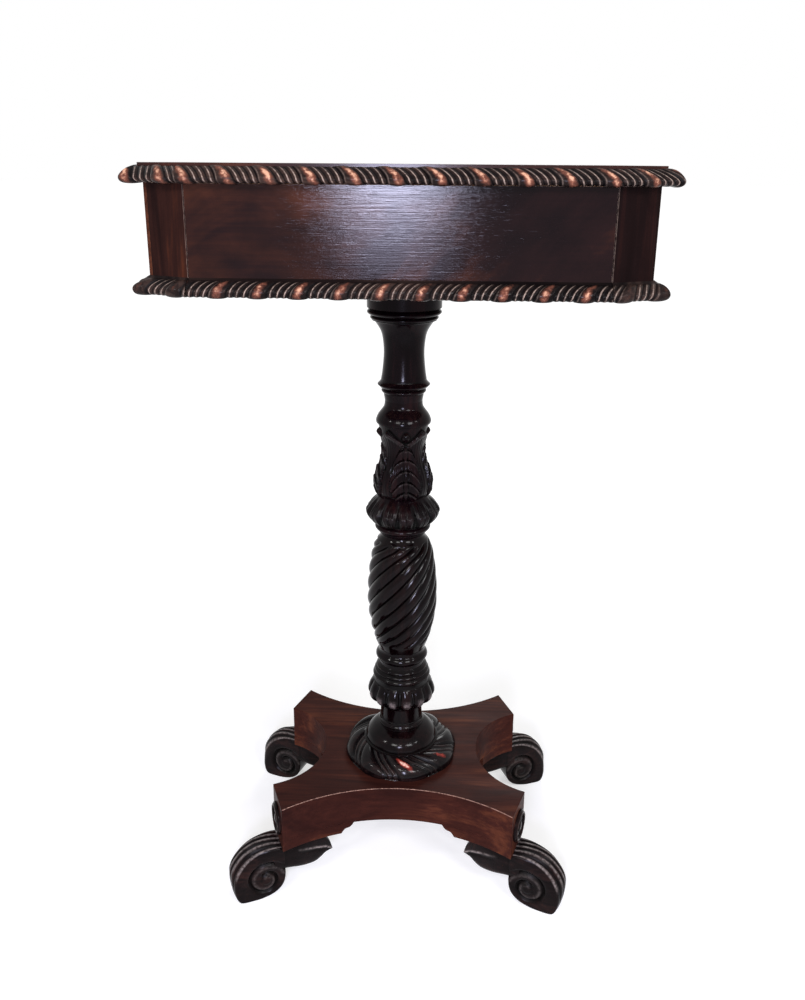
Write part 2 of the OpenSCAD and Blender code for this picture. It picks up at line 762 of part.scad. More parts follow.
module pad() {
    ogee = [for (i = [0 : 8])
        [pad_in + pad_ogee * i / 8, pad_z + pad_t * (1 - i / 8 - 0.14 * sin(360 * i / 8))]];
    difference() {
        intersection() {
            platform_plan(pad_z, pad_t);
            translate([0, corner_y + over, 0]) rotate([90, 0, 0])
                linear_extrude(corner_y - pad_inner_y + over)
                    polygon(concat(ogee, [[side_x + over, pad_z], [side_x + over, pad_z + pad_t]]));
        }
        foot_place() foot_dowel_pair(fit);
    }
}
module pad_front_left() { color(red_wood) at_corner(-1, -1) pad(); }
module pad_front_right() { color(red_wood) at_corner(1, -1) pad(); }
module pad_back_left() { color(red_wood) at_corner(-1, 1) pad(); }
module pad_back_right() { color(red_wood) at_corner(1, 1) pad(); }

// Puts a part drawn with +X outwards at the middle of the end face, at floor level
module foot_place() {
    translate([end_mid[0], end_mid[1], 0]) rotate(end_angle) children();
}

module roundel() {
    r = roundel_d / 2;
    foot_place() translate([0, 0, (pad_z + slab_top) / 2]) rotate([0, 90, 0]) rotate_extrude() polygon(concat(
        [[0, 0], [r, 0], [r, roundel_t * 0.5]],
        [for (i = [0 : 6]) [r - 1 - 4 * i / 6, roundel_t * (0.5 + 0.5 * sin(180 * i / 6))]],
        [[r - 6, roundel_t * 0.35], [r * 0.42, roundel_t * 0.35]],
        [for (i = [0 : 4]) [r * 0.42 * cos(90 * i / 4), roundel_t * (0.35 + 0.65 * sin(90 * i / 4))]]));
}
module roundel_front_left() { color(red_wood) at_corner(-1, -1) roundel(); }
module roundel_front_right() { color(red_wood) at_corner(1, -1) roundel(); }
module roundel_back_left() { color(red_wood) at_corner(-1, 1) roundel(); }
module roundel_back_right() { color(red_wood) at_corner(1, 1) roundel(); }

// Scroll foot, drawn from the side: u runs outwards from the end face, z up from the floor
eye = [17, 0.42 * foot_h];
eye_r = 14;
reed_depth = 1.4;
reed_groove = 1.2;
eye_boss = 1.2;

// The outer reeds lie this much lower than the others
edge_drop = 3;
// The leaf narrows from this far in under the pad
leaf_start = 14;

function foot_outer(inset) = curve([
    [0.6, foot_h - inset], [foot_reach * 0.26, foot_h + 2.4 - inset],
    [foot_reach * 0.56, foot_h + 0.4 - inset],
    [foot_reach * 0.8 - inset * 0.6, foot_h - 8.5 - inset * 0.7],
    [foot_reach - inset, foot_h - 28], [foot_reach - 1.5 - inset, 13],
    [foot_reach - 7 - inset * 0.6, 2.2], [foot_reach - 14 - inset * 0.5, 0]], 3);
foot_scroll = curve([[22, 0], [8, 3.5], [-1.5, 14], [-4.5, 25], [-3.5, foot_h - 27]], 3);
foot_under = curve([[-8, foot_h - 28.5], [-20, foot_h - 30.5], [-33, foot_h - 30.5], [-43, foot_h - 28],
    [-foot_leaf + 7, foot_h - 26], [-foot_leaf, foot_h - 23.5]], 3);
foot_tip = [[-foot_leaf + 1, foot_h - 19], [-foot_leaf + 6, foot_h - 9], [-foot_leaf + 11, foot_h]];

module foot_side(w, inset) {
    translate([0, w / 2, 0]) rotate([90, 0, 0]) linear_extrude(w)
        polygon(concat([[-2, foot_h]], foot_outer(inset), foot_scroll, foot_under, foot_tip));
}

module foot_reed_cut() {
    linear_extrude(reed_groove) polygon(concat(
        [for (p = foot_outer(0)) if (p[0] > 1 && p[1] > 12) p + [over, over]],
        [for (q = [len(foot_outer(0)) - 1 : -1 : 0]) if (foot_outer(0)[q][0] > 1 && foot_outer(0)[q][1] > 12)
            foot_outer(reed_depth)[q]]));
}

module foot_dowel_pair(gap = 0) {
    for (u = [-12, -30]) translate([u, 0, foot_h - dowel_half - gap])
        cylinder(r = dowel_r + gap, h = dowel_half + pad_t - dowel_cover + 2 * gap);
}

module foot() {
    foot_place() difference() {
        intersection() {
            union() {
                foot_side(foot_w, edge_drop);
                foot_side(foot_w * (1 - 2 / foot_reeds), 0);
                for (s = [-1, 1]) translate([eye[0], s * (foot_w / 2 - over), eye[1]]) rotate([-90 * s, 0, 0])
                    cylinder(r = eye_r / 2, h = over + eye_boss);
            }
            // Seen from above, the leaf narrows to a point under the pad
            translate([0, 0, -over]) linear_extrude(foot_h + 2 * over + 3) polygon([
                [foot_reach + over, -foot_w], [foot_reach + over, foot_w],
                [-leaf_start, foot_w], [-leaf_start, foot_w / 2],
                [-foot_leaf, 2.5], [-foot_leaf, -2.5],
                [-leaf_start, -foot_w / 2], [-leaf_start, -foot_w]]);
        }
        for (i = [2 : foot_reeds - 2])
            translate([0, -foot_w / 2 + i * foot_w / foot_reeds + reed_groove / 2, 0])
                rotate([90, 0, 0]) foot_reed_cut();
        foot_dowel_pair(fit);
    }
}
module foot_front_left() { color(mahogany) at_corner(-1, -1) foot(); }
module foot_front_right() { color(mahogany) at_corner(1, -1) foot(); }
module foot_back_left() { color(mahogany) at_corner(-1, 1) foot(); }
module foot_back_right() { color(mahogany) at_corner(1, 1) foot(); }

module foot_dowels() {
    color(pale_wood) for (side = [-1, 1], front = [-1, 1])
        at_corner(side, front) foot_place() foot_dowel_pair();
}

top_board();
top_gadroon_front();
top_gadroon_back();
top_gadroon_left();
top_gadroon_right();
top_gadroon_corners();
corner_post_front_left();
corner_post_front_right();
corner_post_back_left();
corner_post_back_right();
side_panel_left();
side_panel_right();
back_panel();
carcass_bottom();
front_rail();
runner_left();
runner_right();
guide_left();
guide_right();
kicker_left();
kicker_right();
drawer_stops();
low_gadroon_back();
low_gadroon_left();
low_gadroon_right();
low_gadroon_corners();
bearer_block();
upper_stem();
carved_vase();
twist_baluster();
lower_stem();
base_collar();
tenon_wedges();
platform_slab();
pad_front_left();
pad_front_right();
pad_back_left();
pad_back_right();
roundel_front_left();
roundel_front_right();
roundel_back_left();
roundel_back_right();
foot_front_left();
foot_front_right();
foot_back_left();
foot_back_right();
foot_dowels();
top_screws();
bearer_screws();
drawer_front();
drawer_gadroon();
drawer_side_left();
drawer_side_right();
drawer_back();
drawer_bottom();
drawer_nails();
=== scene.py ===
"""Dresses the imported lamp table: carved mouldings, column, platform and scroll feet in old mahogany."""

import json
import logging
import math
from dataclasses import dataclass, field, replace
from enum import Enum
from typing import Any, Callable, Dict, List, Optional, Sequence, Tuple, Union

import bpy
import numpy as np
from mathutils import Matrix, Vector

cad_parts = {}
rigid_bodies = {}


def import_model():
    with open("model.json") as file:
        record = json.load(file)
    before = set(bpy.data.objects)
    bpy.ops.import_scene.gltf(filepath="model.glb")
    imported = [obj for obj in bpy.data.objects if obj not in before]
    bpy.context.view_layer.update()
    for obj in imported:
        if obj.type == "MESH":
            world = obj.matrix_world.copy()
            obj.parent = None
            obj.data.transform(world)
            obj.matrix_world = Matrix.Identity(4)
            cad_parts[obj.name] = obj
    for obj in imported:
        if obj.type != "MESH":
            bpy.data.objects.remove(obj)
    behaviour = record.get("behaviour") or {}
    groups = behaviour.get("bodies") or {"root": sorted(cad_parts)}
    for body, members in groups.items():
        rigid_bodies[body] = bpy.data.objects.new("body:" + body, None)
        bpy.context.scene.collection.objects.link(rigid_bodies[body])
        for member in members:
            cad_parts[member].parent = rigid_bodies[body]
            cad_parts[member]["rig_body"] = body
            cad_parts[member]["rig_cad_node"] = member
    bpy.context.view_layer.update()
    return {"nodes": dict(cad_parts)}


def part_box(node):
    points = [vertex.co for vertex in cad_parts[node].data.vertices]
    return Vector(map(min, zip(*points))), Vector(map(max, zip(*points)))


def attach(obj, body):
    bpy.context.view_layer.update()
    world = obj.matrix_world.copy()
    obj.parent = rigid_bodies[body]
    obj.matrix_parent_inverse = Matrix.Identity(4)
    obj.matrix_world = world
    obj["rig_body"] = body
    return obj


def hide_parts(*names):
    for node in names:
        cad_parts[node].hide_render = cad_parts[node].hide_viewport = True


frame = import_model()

log = logging.getLogger("lamp_table")

MM = 0.001
Point = Tuple[float, float]
Rgb = Tuple[int, int, int]
Colour = Tuple[float, float, float, float]
Array = np.ndarray
Piece = bpy.types.Object
Material = bpy.types.Material
Socket = bpy.types.NodeSocket

# The two corners of a box, and the three axes
LOW, HIGH = 0, 1
X, Y, Z = 0, 1, 2


class Body(Enum):
    """The two bodies of the frame."""

    TABLE = "table"
    DRAWER = "drawer"


class Slot(Enum):
    """The record's material slots that the pieces here belong to."""

    TOP = "top_mahogany"
    GADROON = "gadroon_mahogany"
    FRIEZE = "frieze_veneer"
    COLUMN = "column_mahogany"
    PLATFORM = "platform_mahogany"
    FOOT = "foot_mahogany"


class Grain(Enum):
    """Which way the grain runs."""

    WIDTH = 0
    DEPTH = 1
    UPRIGHT = 2


# Small tools


def srgb(red: int, green: int, blue: int) -> Colour:
    """Turns a screen colour into the linear colour that the shaders take.

    Args:
        red: Red, from 0 to 255.
        green: Green, from 0 to 255.
        blue: Blue, from 0 to 255.

    Returns:
        The linear colour with full alpha.
    """
    def linear(value: int) -> float:
        """Gives one channel's linear value."""
        v = value / 255
        return v / 12.92 if v <= 0.04045 else ((v + 0.055) / 1.055) ** 2.4

    return linear(red), linear(green), linear(blue), 1.0


def unit(values: Array) -> Array:
    """Holds numbers between 0 and 1."""
    return np.clip(values, 0, 1)


def bell(values: Array, middle: Union[float, Array], width: float) -> Array:
    """Gives 1 where values meet a middle, falling off smoothly over a width on both sides."""
    return np.exp(-(((values - middle) / width) ** 2))


def arch(off: Array, power: float = 2.2) -> Array:
    """Gives a round crest, 1 in the middle and 0 where the offset reaches 1."""
    return np.sqrt(unit(1 - off**power))


def off_centre(phase: Array) -> Array:
    """Gives how far each place is from the middle of its repeat, from 0 to 1."""
    return np.abs(phase - np.round(phase)) * 2


def smooth_line(knots: Sequence[Point], steps: int) -> List[Point]:
    """Draws a smooth line through knots.

    Args:
        knots: The points that the line passes.
        steps: How many pieces each span is cut into.

    Returns:
        The points of the line, knots among them.
    """
    k = np.array([knots[0], *knots, knots[-1]], float)
    line: List[Point] = []
    for i in range(len(knots) - 1):
        a, b, c, d = k[i : i + 4]
        for j in range(steps):
            t = j / steps
            bend = (2 * a - 5 * b + 4 * c - d) * t**2 + (3 * b - a - 3 * c + d) * t**3
            p = 0.5 * (2 * b + (c - a) * t + bend)
            line.append((float(p[0]), float(p[1])))
    line.append((float(knots[-1][0]), float(knots[-1][1])))
    return line


def follow(places: Array, knots: Sequence[Point], steps: int = 6) -> Array:
    """Reads a smooth line through knots at the given places."""
    line = np.array(smooth_line(knots, steps))
    return np.interp(places, line[:, 0], line[:, 1])


def raised(low: float, points: Sequence[Point]) -> List[Point]:
    """Lifts an outline's points, which are drawn from height 0."""
    return [(radius, low + height) for radius, height in points]


def bead(radius: float, rise: float, low: float, high: float, steps: int = 8) -> List[Point]:
    """Draws a half-round bead on a turned outline.

    Args:
        radius: Radius beside the bead, in mm.
        rise: How far the bead stands out, in mm.
        low: Height of its lower edge.
        high: Height of its upper edge.
        steps: Number of facets.

    Returns:
        The bead's points, from the bottom up.
    """
    shares = [i / steps for i in range(steps + 1)]
    return [(radius + rise * math.sin(math.pi * share), low + (high - low) * share) for share in shares]


def deselect() -> None:
    """Leaves object mode and deselects everything, so that an operator acts on new work alone."""
    if bpy.context.object and bpy.context.object.mode != "OBJECT":
        bpy.ops.object.mode_set(mode="OBJECT")
    bpy.ops.object.select_all(action="DESELECT")


def pick(piece: Piece) -> None:
    """Makes one piece the only selected and the active one.

    Args:
        piece: The piece.
    """
    deselect()
    piece.select_set(True)
    bpy.context.view_layer.objects.active = piece


def coordinates(piece: Piece, field_name: str = "co") -> Array:
    """Reads the places or normals of a piece's points as an (n, 3) array.

    Args:
        piece: The piece.
        field_name: "co" for places, in metres, or "normal".

    Returns:
        A row for each point.
    """
    values = np.zeros(len(piece.data.vertices) * 3)
    piece.data.vertices.foreach_get(field_name, values)
    return values.reshape(-1, 3)


def edit_all(piece: Piece) -> None:
    """Opens a piece in edit mode with everything selected.

    Args:
        piece: The piece.
    """
    pick(piece)
    bpy.ops.object.mode_set(mode="EDIT")
    bpy.ops.mesh.select_all(action="SELECT")


def face_centres(piece: Piece) -> Array:
    """Reads the middles of a piece's faces as an (n, 3) array, in millimetres.

    Args:
        piece: The piece.

    Returns:
        A row for each face.
    """
    values = np.zeros(len(piece.data.polygons) * 3)
    piece.data.polygons.foreach_get("center", values)
    return values.reshape(-1, 3) / MM


def move_points(piece: Piece, places: Array) -> None:
    """Writes the places of a piece's points, in metres."""
    piece.data.vertices.foreach_set("co", np.ascontiguousarray(places, float).ravel())
    piece.data.update()


def paint(piece: Piece, domain: str = "POINT", **numbers: Any) -> None:
    """Stores numbers from 0 to 1 on each point or face, for the finish to read.

    Args:
        piece: The piece.
        domain: POINT or FACE.
        numbers: The attributes that the shader looks up, each with its number for each element.
    """
    for name, values in numbers.items():
        layer = piece.data.attributes.get(name) or piece.data.attributes.new(name, "FLOAT", domain)
        layer.data.foreach_set("value", np.broadcast_to(unit(values), len(layer.data)).astype(np.float32))


def settle(piece: Piece, angle: float) -> None:
    """Puts the piece's place into its mesh and smooths it between its sharp edges.

    Args:
        piece: The piece.
        angle: Edges bent more than this stay sharp, in degrees.
    """
    pick(piece)
    bpy.ops.object.transform_apply(location=True, rotation=True, scale=True)
    bpy.ops.object.shade_smooth_by_angle(angle=math.radians(angle))


def level_faces(piece: Piece) -> None:
    """Turns the normals of large flat faces straight out, so that only the narrow arrises look round.

    Args:
        piece: The piece.
    """
    pick(piece)
    level = piece.modifiers.new("level", "WEIGHTED_NORMAL")
    level.mode = "FACE_AREA"
    level.weight = 100
    level.keep_sharp = True
    bpy.ops.object.modifier_apply(modifier="level")


def close_shell(piece: Piece) -> None:
    """Merges doubled points, fills open ends and turns every face outwards.

    Args:
        piece: The piece.
    """
    edit_all(piece)
    bpy.ops.mesh.remove_doubles(threshold=2e-6)
    bpy.ops.mesh.fill_holes(sides=0)
    bpy.ops.mesh.select_all(action="SELECT")
    bpy.ops.mesh.normals_make_consistent(inside=False)
    bpy.ops.object.mode_set(mode="OBJECT")


def join(pieces: Sequence[Piece], name: str) -> Piece:
    """Joins pieces into one.

    Args:
        pieces: The pieces, of which the first takes in the others.
        name: The joined piece's name.

    Returns:
        The joined piece.
    """
    deselect()
    for piece in pieces:
        piece.select_set(True)
    bpy.context.view_layer.objects.active = pieces[0]
    if len(pieces) > 1:
        bpy.ops.object.join()
    pieces[0].name = name
    return pieces[0]


def box_mm(node: str) -> Tuple[Vector, Vector]:
    """Gives a CAD node's lowest and highest corners in millimetres."""
    low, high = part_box(node)
    return low / MM, high / MM


def from_box(node: str, corner: int, axis: int, sign: int = 1) -> Any:
    """Gives a dataclass field that reads one coordinate of a CAD node's LOW or HIGH corner."""
    return field(default_factory=lambda: sign * box_mm(node)[corner][axis])


def wrapped_grid(columns: int, rows: int) -> Tuple[Piece, Array, Array]:
    """Adds a grid that is to be wrapped round a section.

    Args:
        columns: Number of cells along the piece.
        rows: Number of cells round it.

    Returns:
        The grid, and each point's share of the way along and round, from 0 to 1.
    """
    deselect()
    bpy.ops.mesh.primitive_grid_add(x_subdivisions=columns, y_subdivisions=rows, size=1)
    piece = bpy.context.object
    grid = coordinates(piece) + 0.5
    return piece, grid[:, 0], grid[:, 1]


def finish_nodes(material: Material, *nodes: str) -> None:
    """Gives CAD nodes that stay in sight their finish.

    Args:
        material: The finish.
        nodes: The nodes' names.
    """
    for node in nodes:
        mesh = frame["nodes"][node].data
        mesh.materials.clear()
        mesh.materials.append(material)


def register(piece: Piece, material: Material, node: str, body: Body = Body.TABLE) -> None:
    """Gives a finished piece its finish and its body, and hides the CAD node that it replaces.

    Args:
        piece: The finished piece.
        material: The finish.
        node: The CAD node that it replaces.
        body: The body that it moves with.
    """
    piece.data.materials.clear()
    piece.data.materials.append(material)
    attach(piece, body.value)
    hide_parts(node)
    log.info("%s: %d points, stands for %s", piece.name, len(piece.data.vertices), node)


# Finishes


class ShaderBench:
    """Adds and joins the nodes of one material."""

    MIX_FACTOR, MIX_A, MIX_B, MIX_RESULT = 0, 6, 7, 2

    def __init__(self, name: str) -> None:
        """Starts a material that holds only its Principled shader and output.

        Args:
            name: The material's name.
        """
        self.material = bpy.data.materials.new(name)
        self.material.use_nodes = True
        self.tree = self.material.node_tree
        self.shader = self.tree.nodes["Principled BSDF"]

    def add(self, kind: str, inputs: Optional[Dict[Any, Any]] = None, **settings: Any) -> bpy.types.Node:
        """Adds a node.

        Args:
            kind: The node's type.
            inputs: Input names or indexes, each with a value or with the socket that feeds it.
            settings: The node's own properties.

        Returns:
            The node.
        """
        node = self.tree.nodes.new(kind)
        for key, value in settings.items():
            setattr(node, key, value)
        for key, value in (inputs or {}).items():
            self.feed(node.inputs[key], value)
        return node

    def feed(self, socket: Socket, value: Any) -> None:
        """Links a socket to another, or sets its value.

        Args:
            socket: The input.
            value: A number, a colour, or the socket that feeds it.
        """
        if isinstance(value, Socket):
            self.tree.links.new(value, socket)
        else:
            socket.default_value = value

    def set_shader(self, inputs: Dict[str, Any]) -> None:
        """Feeds the shader's inputs, each with a value or a socket."""
        for name, value in inputs.items():
            self.feed(self.shader.inputs[name], value)

    def noise(self, vector: Socket, scale: float, detail: float, distortion: float = 0) -> Any:
        """Adds a noise texture and gives its factor socket.

        Args:
            vector: The coordinates.
            scale: How fine it is, in repeats per metre.
            detail: How many finer layers it has.
            distortion: How far it is warped.

        Returns:
            The factor socket.
        """
        return self.add(
            "ShaderNodeTexNoise",
            {"Vector": vector, "Scale": scale, "Detail": detail, "Roughness": 0.6, "Distortion": distortion},
        ).outputs["Fac"]

    def ramp(self, factor: Any, stops: Sequence[Tuple[float, Colour]]) -> Any:
        """Adds a colour ramp with the given stops and gives its colour socket.

        Args:
            factor: The socket that it follows.
            stops: Places from 0 to 1, each with its colour.

        Returns:
            The colour socket.
        """
        node = self.add("ShaderNodeValToRGB", {"Fac": factor})
        band = node.color_ramp.elements
        while len(band) < len(stops):
            band.new(0.5)
        for element, (place, colour) in zip(band, stops):
            element.position, element.color = place, colour
        return node.outputs["Color"]

    def span(self, value: Any, low: float, high: float, to_low: float = 0, to_high: float = 1) -> Any:
        """Adds a clamped map from one range of numbers to another and gives its result socket.

        Args:
            value: The socket that it follows.
            low: Where the range starts.
            high: Where it ends.
            to_low: What its start becomes.
            to_high: What its end becomes.

        Returns:
            The result socket.
        """
        return self.add(
            "ShaderNodeMapRange",
            {"Value": value, "From Min": low, "From Max": high, "To Min": to_low, "To Max": to_high},
        ).outputs["Result"]

    def math(self, operation: str, a: Any, b: Any) -> Any:
        """Adds an operation on two numbers and gives its socket."""
        return self.add("ShaderNodeMath", {0: a, 1: b}, operation=operation).outputs[0]

    def times(self, a: Any, b: Any) -> Any:
        """Adds a product and gives its socket."""
        return self.math("MULTIPLY", a, b)

    def plus(self, a: Any, b: Any) -> Any:
        """Adds a sum and gives its socket."""
        return self.math("ADD", a, b)

    def mix(self, factor: Any, a: Any, b: Any) -> Any:
        """Adds a colour mix and gives its colour socket.

        Args:
            factor: The second colour's share.
            a: The first colour.
            b: The second colour.

        Returns:
            The colour socket.
        """
        node = self.add(
            "ShaderNodeMix",
            {self.MIX_FACTOR: factor, self.MIX_A: a, self.MIX_B: b},
            data_type="RGBA",
        )
        return node.outputs[self.MIX_RESULT]

    def attribute(self, name: str) -> Any:
        """Reads a number stored on the mesh, which is 0 where the piece has none."""
        return self.add("ShaderNodeAttribute", attribute_name=name).outputs["Fac"]


@dataclass(frozen=True)
class WoodFinish:
    """A polished wood: its colours, figure and gloss, how it looks where it is worn or rubbed, and the
    colours of its painted highlights and painted shade.
    """

    name: str
    dark: Rgb
    middle: Rgb
    light: Rgb
    worn: Rgb
    worn_deep: Rgb
    # Colour of rubbed arrises and of painted highlights, and colour of painted shade, which the pores share
    rub: Rgb = (150, 128, 112)
    grime: Rgb = (9, 7, 7)
    roughness: float = 0.3
    roughness_spread: float = 0.1
    ior: float = 1.2
    coat: float = 0.0
    coat_roughness: float = 0.16
    coat_ior: float = 1.2
    figure: float = 38
    stretch: float = 0.12
    tilt: float = 0
    blotch: float = 0.5
    pores: float = 0.4
    relief: float = 0.12
    scratches: float = 0.0
    streak_share: float = 0.32

    FIBRE_STRETCH = 0.03
    BUMP = 0.0002

    # How fine each pattern is, in repeats per metre
    BLOTCHES = 21
    SMEARS = 30
    PATCHES = 260
    STREAKS = 260
    BREAKS = 330
    TOOTH = 700
    SCRATCHES = 900
    PORES = 1500

    def material(self, grain: Grain) -> Material:
        """Builds the finish, or gives it if it was built before.

        Args:
            grain: Which way the grain runs.

        Returns:
            The material.
        """
        full_name = f"{self.name}_{grain.name.lower()}"
        if full_name in bpy.data.materials:
            return bpy.data.materials[full_name]
        bench = ShaderBench(full_name)
        dark, middle, light = srgb(*self.dark), srgb(*self.middle), srgb(*self.light)
        grime = srgb(*self.grime)
        place = bench.add("ShaderNodeTexCoord").outputs["Object"]
        along = self._along_grain(bench, place, grain, self.stretch, self.tilt)
        fibres = self._along_grain(bench, place, grain, self.FIBRE_STRETCH, 0)

        figure = bench.noise(along, self.figure, 5, 0.9)
        streaks = bench.noise(fibres, self.STREAKS, 3)
        share = self.streak_share
        tone = bench.plus(bench.times(figure, 1 - share), bench.times(streaks, share))
        colour = bench.ramp(tone, [(0.36, dark), (0.5, middle), (0.64, light)])
        blotches = bench.span(bench.noise(place, self.BLOTCHES, 4, 0.6), 0.42, 0.68, 0, self.blotch)
        colour = bench.mix(blotches, colour, dark)
        pores = bench.span(bench.noise(fibres, self.PORES, 2), 0.6, 0.72, 0, self.pores)
        # The pores take the same dark colour as the painted shade
        colour = bench.mix(pores, colour, grime)

        patchy = bench.span(bench.noise(place, self.PATCHES, 4), 0.34, 0.62, 0.35, 1.15)
        wear = bench.times(bench.attribute("wear"), patchy)
        colour = bench.mix(bench.span(wear, 0.12, 0.5), colour, srgb(*self.worn_deep))
        colour = bench.mix(bench.span(wear, 0.5, 0.9), colour, srgb(*self.worn))
        # Painted highlights on crests and rubbed arrises, in the colour of rubbed arrises, broken up by
        # noise
        broken = bench.span(bench.noise(place, self.BREAKS, 3), 0.36, 0.58, 0.25, 1.0)
        colour = bench.mix(bench.times(bench.attribute("rub"), broken), colour, srgb(*self.rub))
        # Painted shade in valleys, grooves, notches and undersides, which also makes them rougher
        painted_shade_mask = bench.attribute("grime")
        colour = bench.mix(painted_shade_mask, colour, grime)

        spread = self.roughness_spread
        smear = bench.span(bench.noise(along, self.SMEARS, 5), 0.3, 0.7, -spread, spread)
        rough = bench.plus(bench.plus(smear, self.roughness), bench.times(painted_shade_mask, 0.25))
        tooth = bench.times(bench.noise(place, self.TOOTH, 3), 0.5)
        height = bench.plus(bench.times(pores, -1.0), tooth)
        if self.scratches:
            scratches = bench.noise(fibres, self.SCRATCHES, 4)
            height = bench.plus(height, bench.times(scratches, self.scratches))
        bump = {"Strength": self.relief, "Distance": self.BUMP, "Height": height}
        fine = bench.add("ShaderNodeBump", bump)
        normal = fine.outputs["Normal"]
        bench.set_shader({"Base Color": colour, "Roughness": rough, "Normal": normal, "IOR": self.ior})
        if self.coat:
            bench.set_shader({
                "Coat Weight": self.coat,
                "Coat Roughness": self.coat_roughness,
                "Coat IOR": self.coat_ior,
                "Coat Normal": normal,
            })
        return bench.material

    def _along_grain(self, bench: ShaderBench, place: Any, grain: Grain, stretch: float, tilt: float) -> Any:
        """Gives coordinates that are drawn out along the grain.

        Args:
            bench: The material's bench.
            place: The object coordinates.
            grain: Which way the grain runs.
            stretch: Scale along the grain, where 1 doesn't stretch.
            tilt: How far the figure leans across the face, in degrees.

        Returns:
            The vector socket.
        """
        scale = [1.0, 1.0, 1.0]
        scale[grain.value] = stretch
        turned = bench.add("ShaderNodeMapping", {"Vector": place, "Rotation": (0, math.radians(tilt), 0)})
        return bench.add("ShaderNodeMapping", {"Vector": turned.outputs[0], "Scale": scale}).outputs[0]


COLUMN_WOOD = WoodFinish(
    "column_mahogany", dark=(4, 1, 2), middle=(10, 4, 6), light=(26, 11, 12), worn=(104, 84, 80),
    worn_deep=(52, 34, 34), rub=(120, 108, 106), grime=(1, 1, 1),
    roughness=0.15, roughness_spread=0.05, ior=1.15, pores=0.2,
)
LOW_COLUMN_WOOD = replace(
    COLUMN_WOOD, name="low_column_mahogany", dark=(2, 0, 1), middle=(8, 3, 4), light=(22, 9, 9),
    roughness=0.13, ior=1.19,
)
GADROON_WOOD = WoodFinish(
    "gadroon_mahogany", dark=(12, 8, 8), middle=(30, 22, 20), light=(60, 45, 39), worn=(190, 144, 116),
    worn_deep=(100, 60, 47), rub=(164, 144, 130), grime=(6, 5, 6),
    roughness=0.24, ior=1.13, relief=0.25,
)
RING_WOOD = WoodFinish(
    "collar_mahogany", dark=(4, 2, 3), middle=(12, 7, 8), light=(34, 21, 20), worn=(226, 180, 160),
    worn_deep=(140, 52, 42), rub=(132, 116, 110), grime=(2, 1, 2),
    roughness=0.18, ior=1.22,
)
FRIEZE_WOOD = WoodFinish(
    "frieze_veneer", dark=(12, 4, 6), middle=(23, 9, 10), light=(54, 26, 16), worn=(150, 120, 104),
    worn_deep=(96, 52, 36), rub=(164, 142, 130),
    roughness=0.42, roughness_spread=0.05, ior=1.04, coat=1.0, coat_roughness=0.07, coat_ior=1.2,
    figure=10, stretch=0.5, tilt=38, blotch=0.6, pores=0.2, relief=0.24, scratches=1.6, streak_share=0.1,
)
POST_WOOD = WoodFinish(
    "post_veneer", dark=(22, 9, 8), middle=(38, 19, 15), light=(78, 40, 24), worn=(140, 116, 102),
    worn_deep=(76, 42, 28), rub=(150, 130, 118),
    roughness=0.3, ior=1.11, streak_share=0.2,
)
# A darker copy of the post veneer, which paints shade on the posts other than the front left
SHADED_POST_WOOD = replace(
    POST_WOOD, name="post_veneer_dark", dark=(10, 4, 4), middle=(18, 8, 8), light=(36, 17, 14)
)
TOP_WOOD = WoodFinish(
    "top_mahogany", dark=(24, 12, 10), middle=(42, 20, 16), light=(72, 38, 26), worn=(130, 92, 70),
    worn_deep=(96, 52, 38),
    roughness=0.3, roughness_spread=0.05, ior=1.1, coat=1.0, coat_roughness=0.18, coat_ior=1.17,
    figure=14, stretch=0.2, scratches=0.4,
)
PLATFORM_WOOD = WoodFinish(
    "platform_mahogany", dark=(38, 17, 14), middle=(56, 27, 21), light=(92, 50, 33), worn=(190, 156, 138),
    worn_deep=(112, 66, 50), rub=(168, 132, 116),
    roughness=0.4, ior=1.09, figure=24, stretch=0.16, blotch=0.45, streak_share=0.22,
)
FOOT_WOOD = WoodFinish(
    "foot_mahogany", dark=(8, 5, 5), middle=(20, 12, 12), light=(42, 25, 22), worn=(170, 150, 140),
    worn_deep=(84, 66, 60), rub=(158, 146, 140), grime=(2, 1, 1),
    roughness=0.2, ior=1.15,
)
PINE = WoodFinish(
    "carcass_pine", dark=(120, 84, 48), middle=(158, 118, 72), light=(186, 148, 98), worn=(190, 160, 120),
    worn_deep=(150, 110, 70),
    roughness=0.6, ior=1.3, figure=24, stretch=0.06,
)
OAK = WoodFinish(
    "drawer_oak", dark=(112, 76, 44), middle=(146, 106, 64), light=(170, 130, 84), worn=(176, 140, 96),
    worn_deep=(140, 100, 62),
    roughness=0.55, ior=1.35, figure=52, stretch=0.05, pores=0.7,
)


@dataclass(frozen=True)
class SteelFinish:
    """Old iron of screws and nails, browned and dull."""

    name: str = "steel"
    bright: Rgb = (128, 120, 112)
    brown: Rgb = (86, 62, 48)

    def material(self) -> Material:
        """Builds the finish, or gives it if it was built before.

        Returns:
            The material.
        """
        if self.name in bpy.data.materials:
            return bpy.data.materials[self.name]
        bench = ShaderBench(self.name)
        place = bench.add("ShaderNodeTexCoord").outputs["Object"]
        rust = bench.span(bench.noise(place, 420, 4), 0.4, 0.65)
        bench.set_shader({
            "Base Color": bench.mix(rust, srgb(*self.bright), srgb(*self.brown)),
            "Roughness": bench.span(rust, 0, 1, 0.35, 0.7),
            "Metallic": bench.span(rust, 0, 1, 1, 0.4),
        })
        return bench.material


STEEL = SteelFinish()


# Ways of making


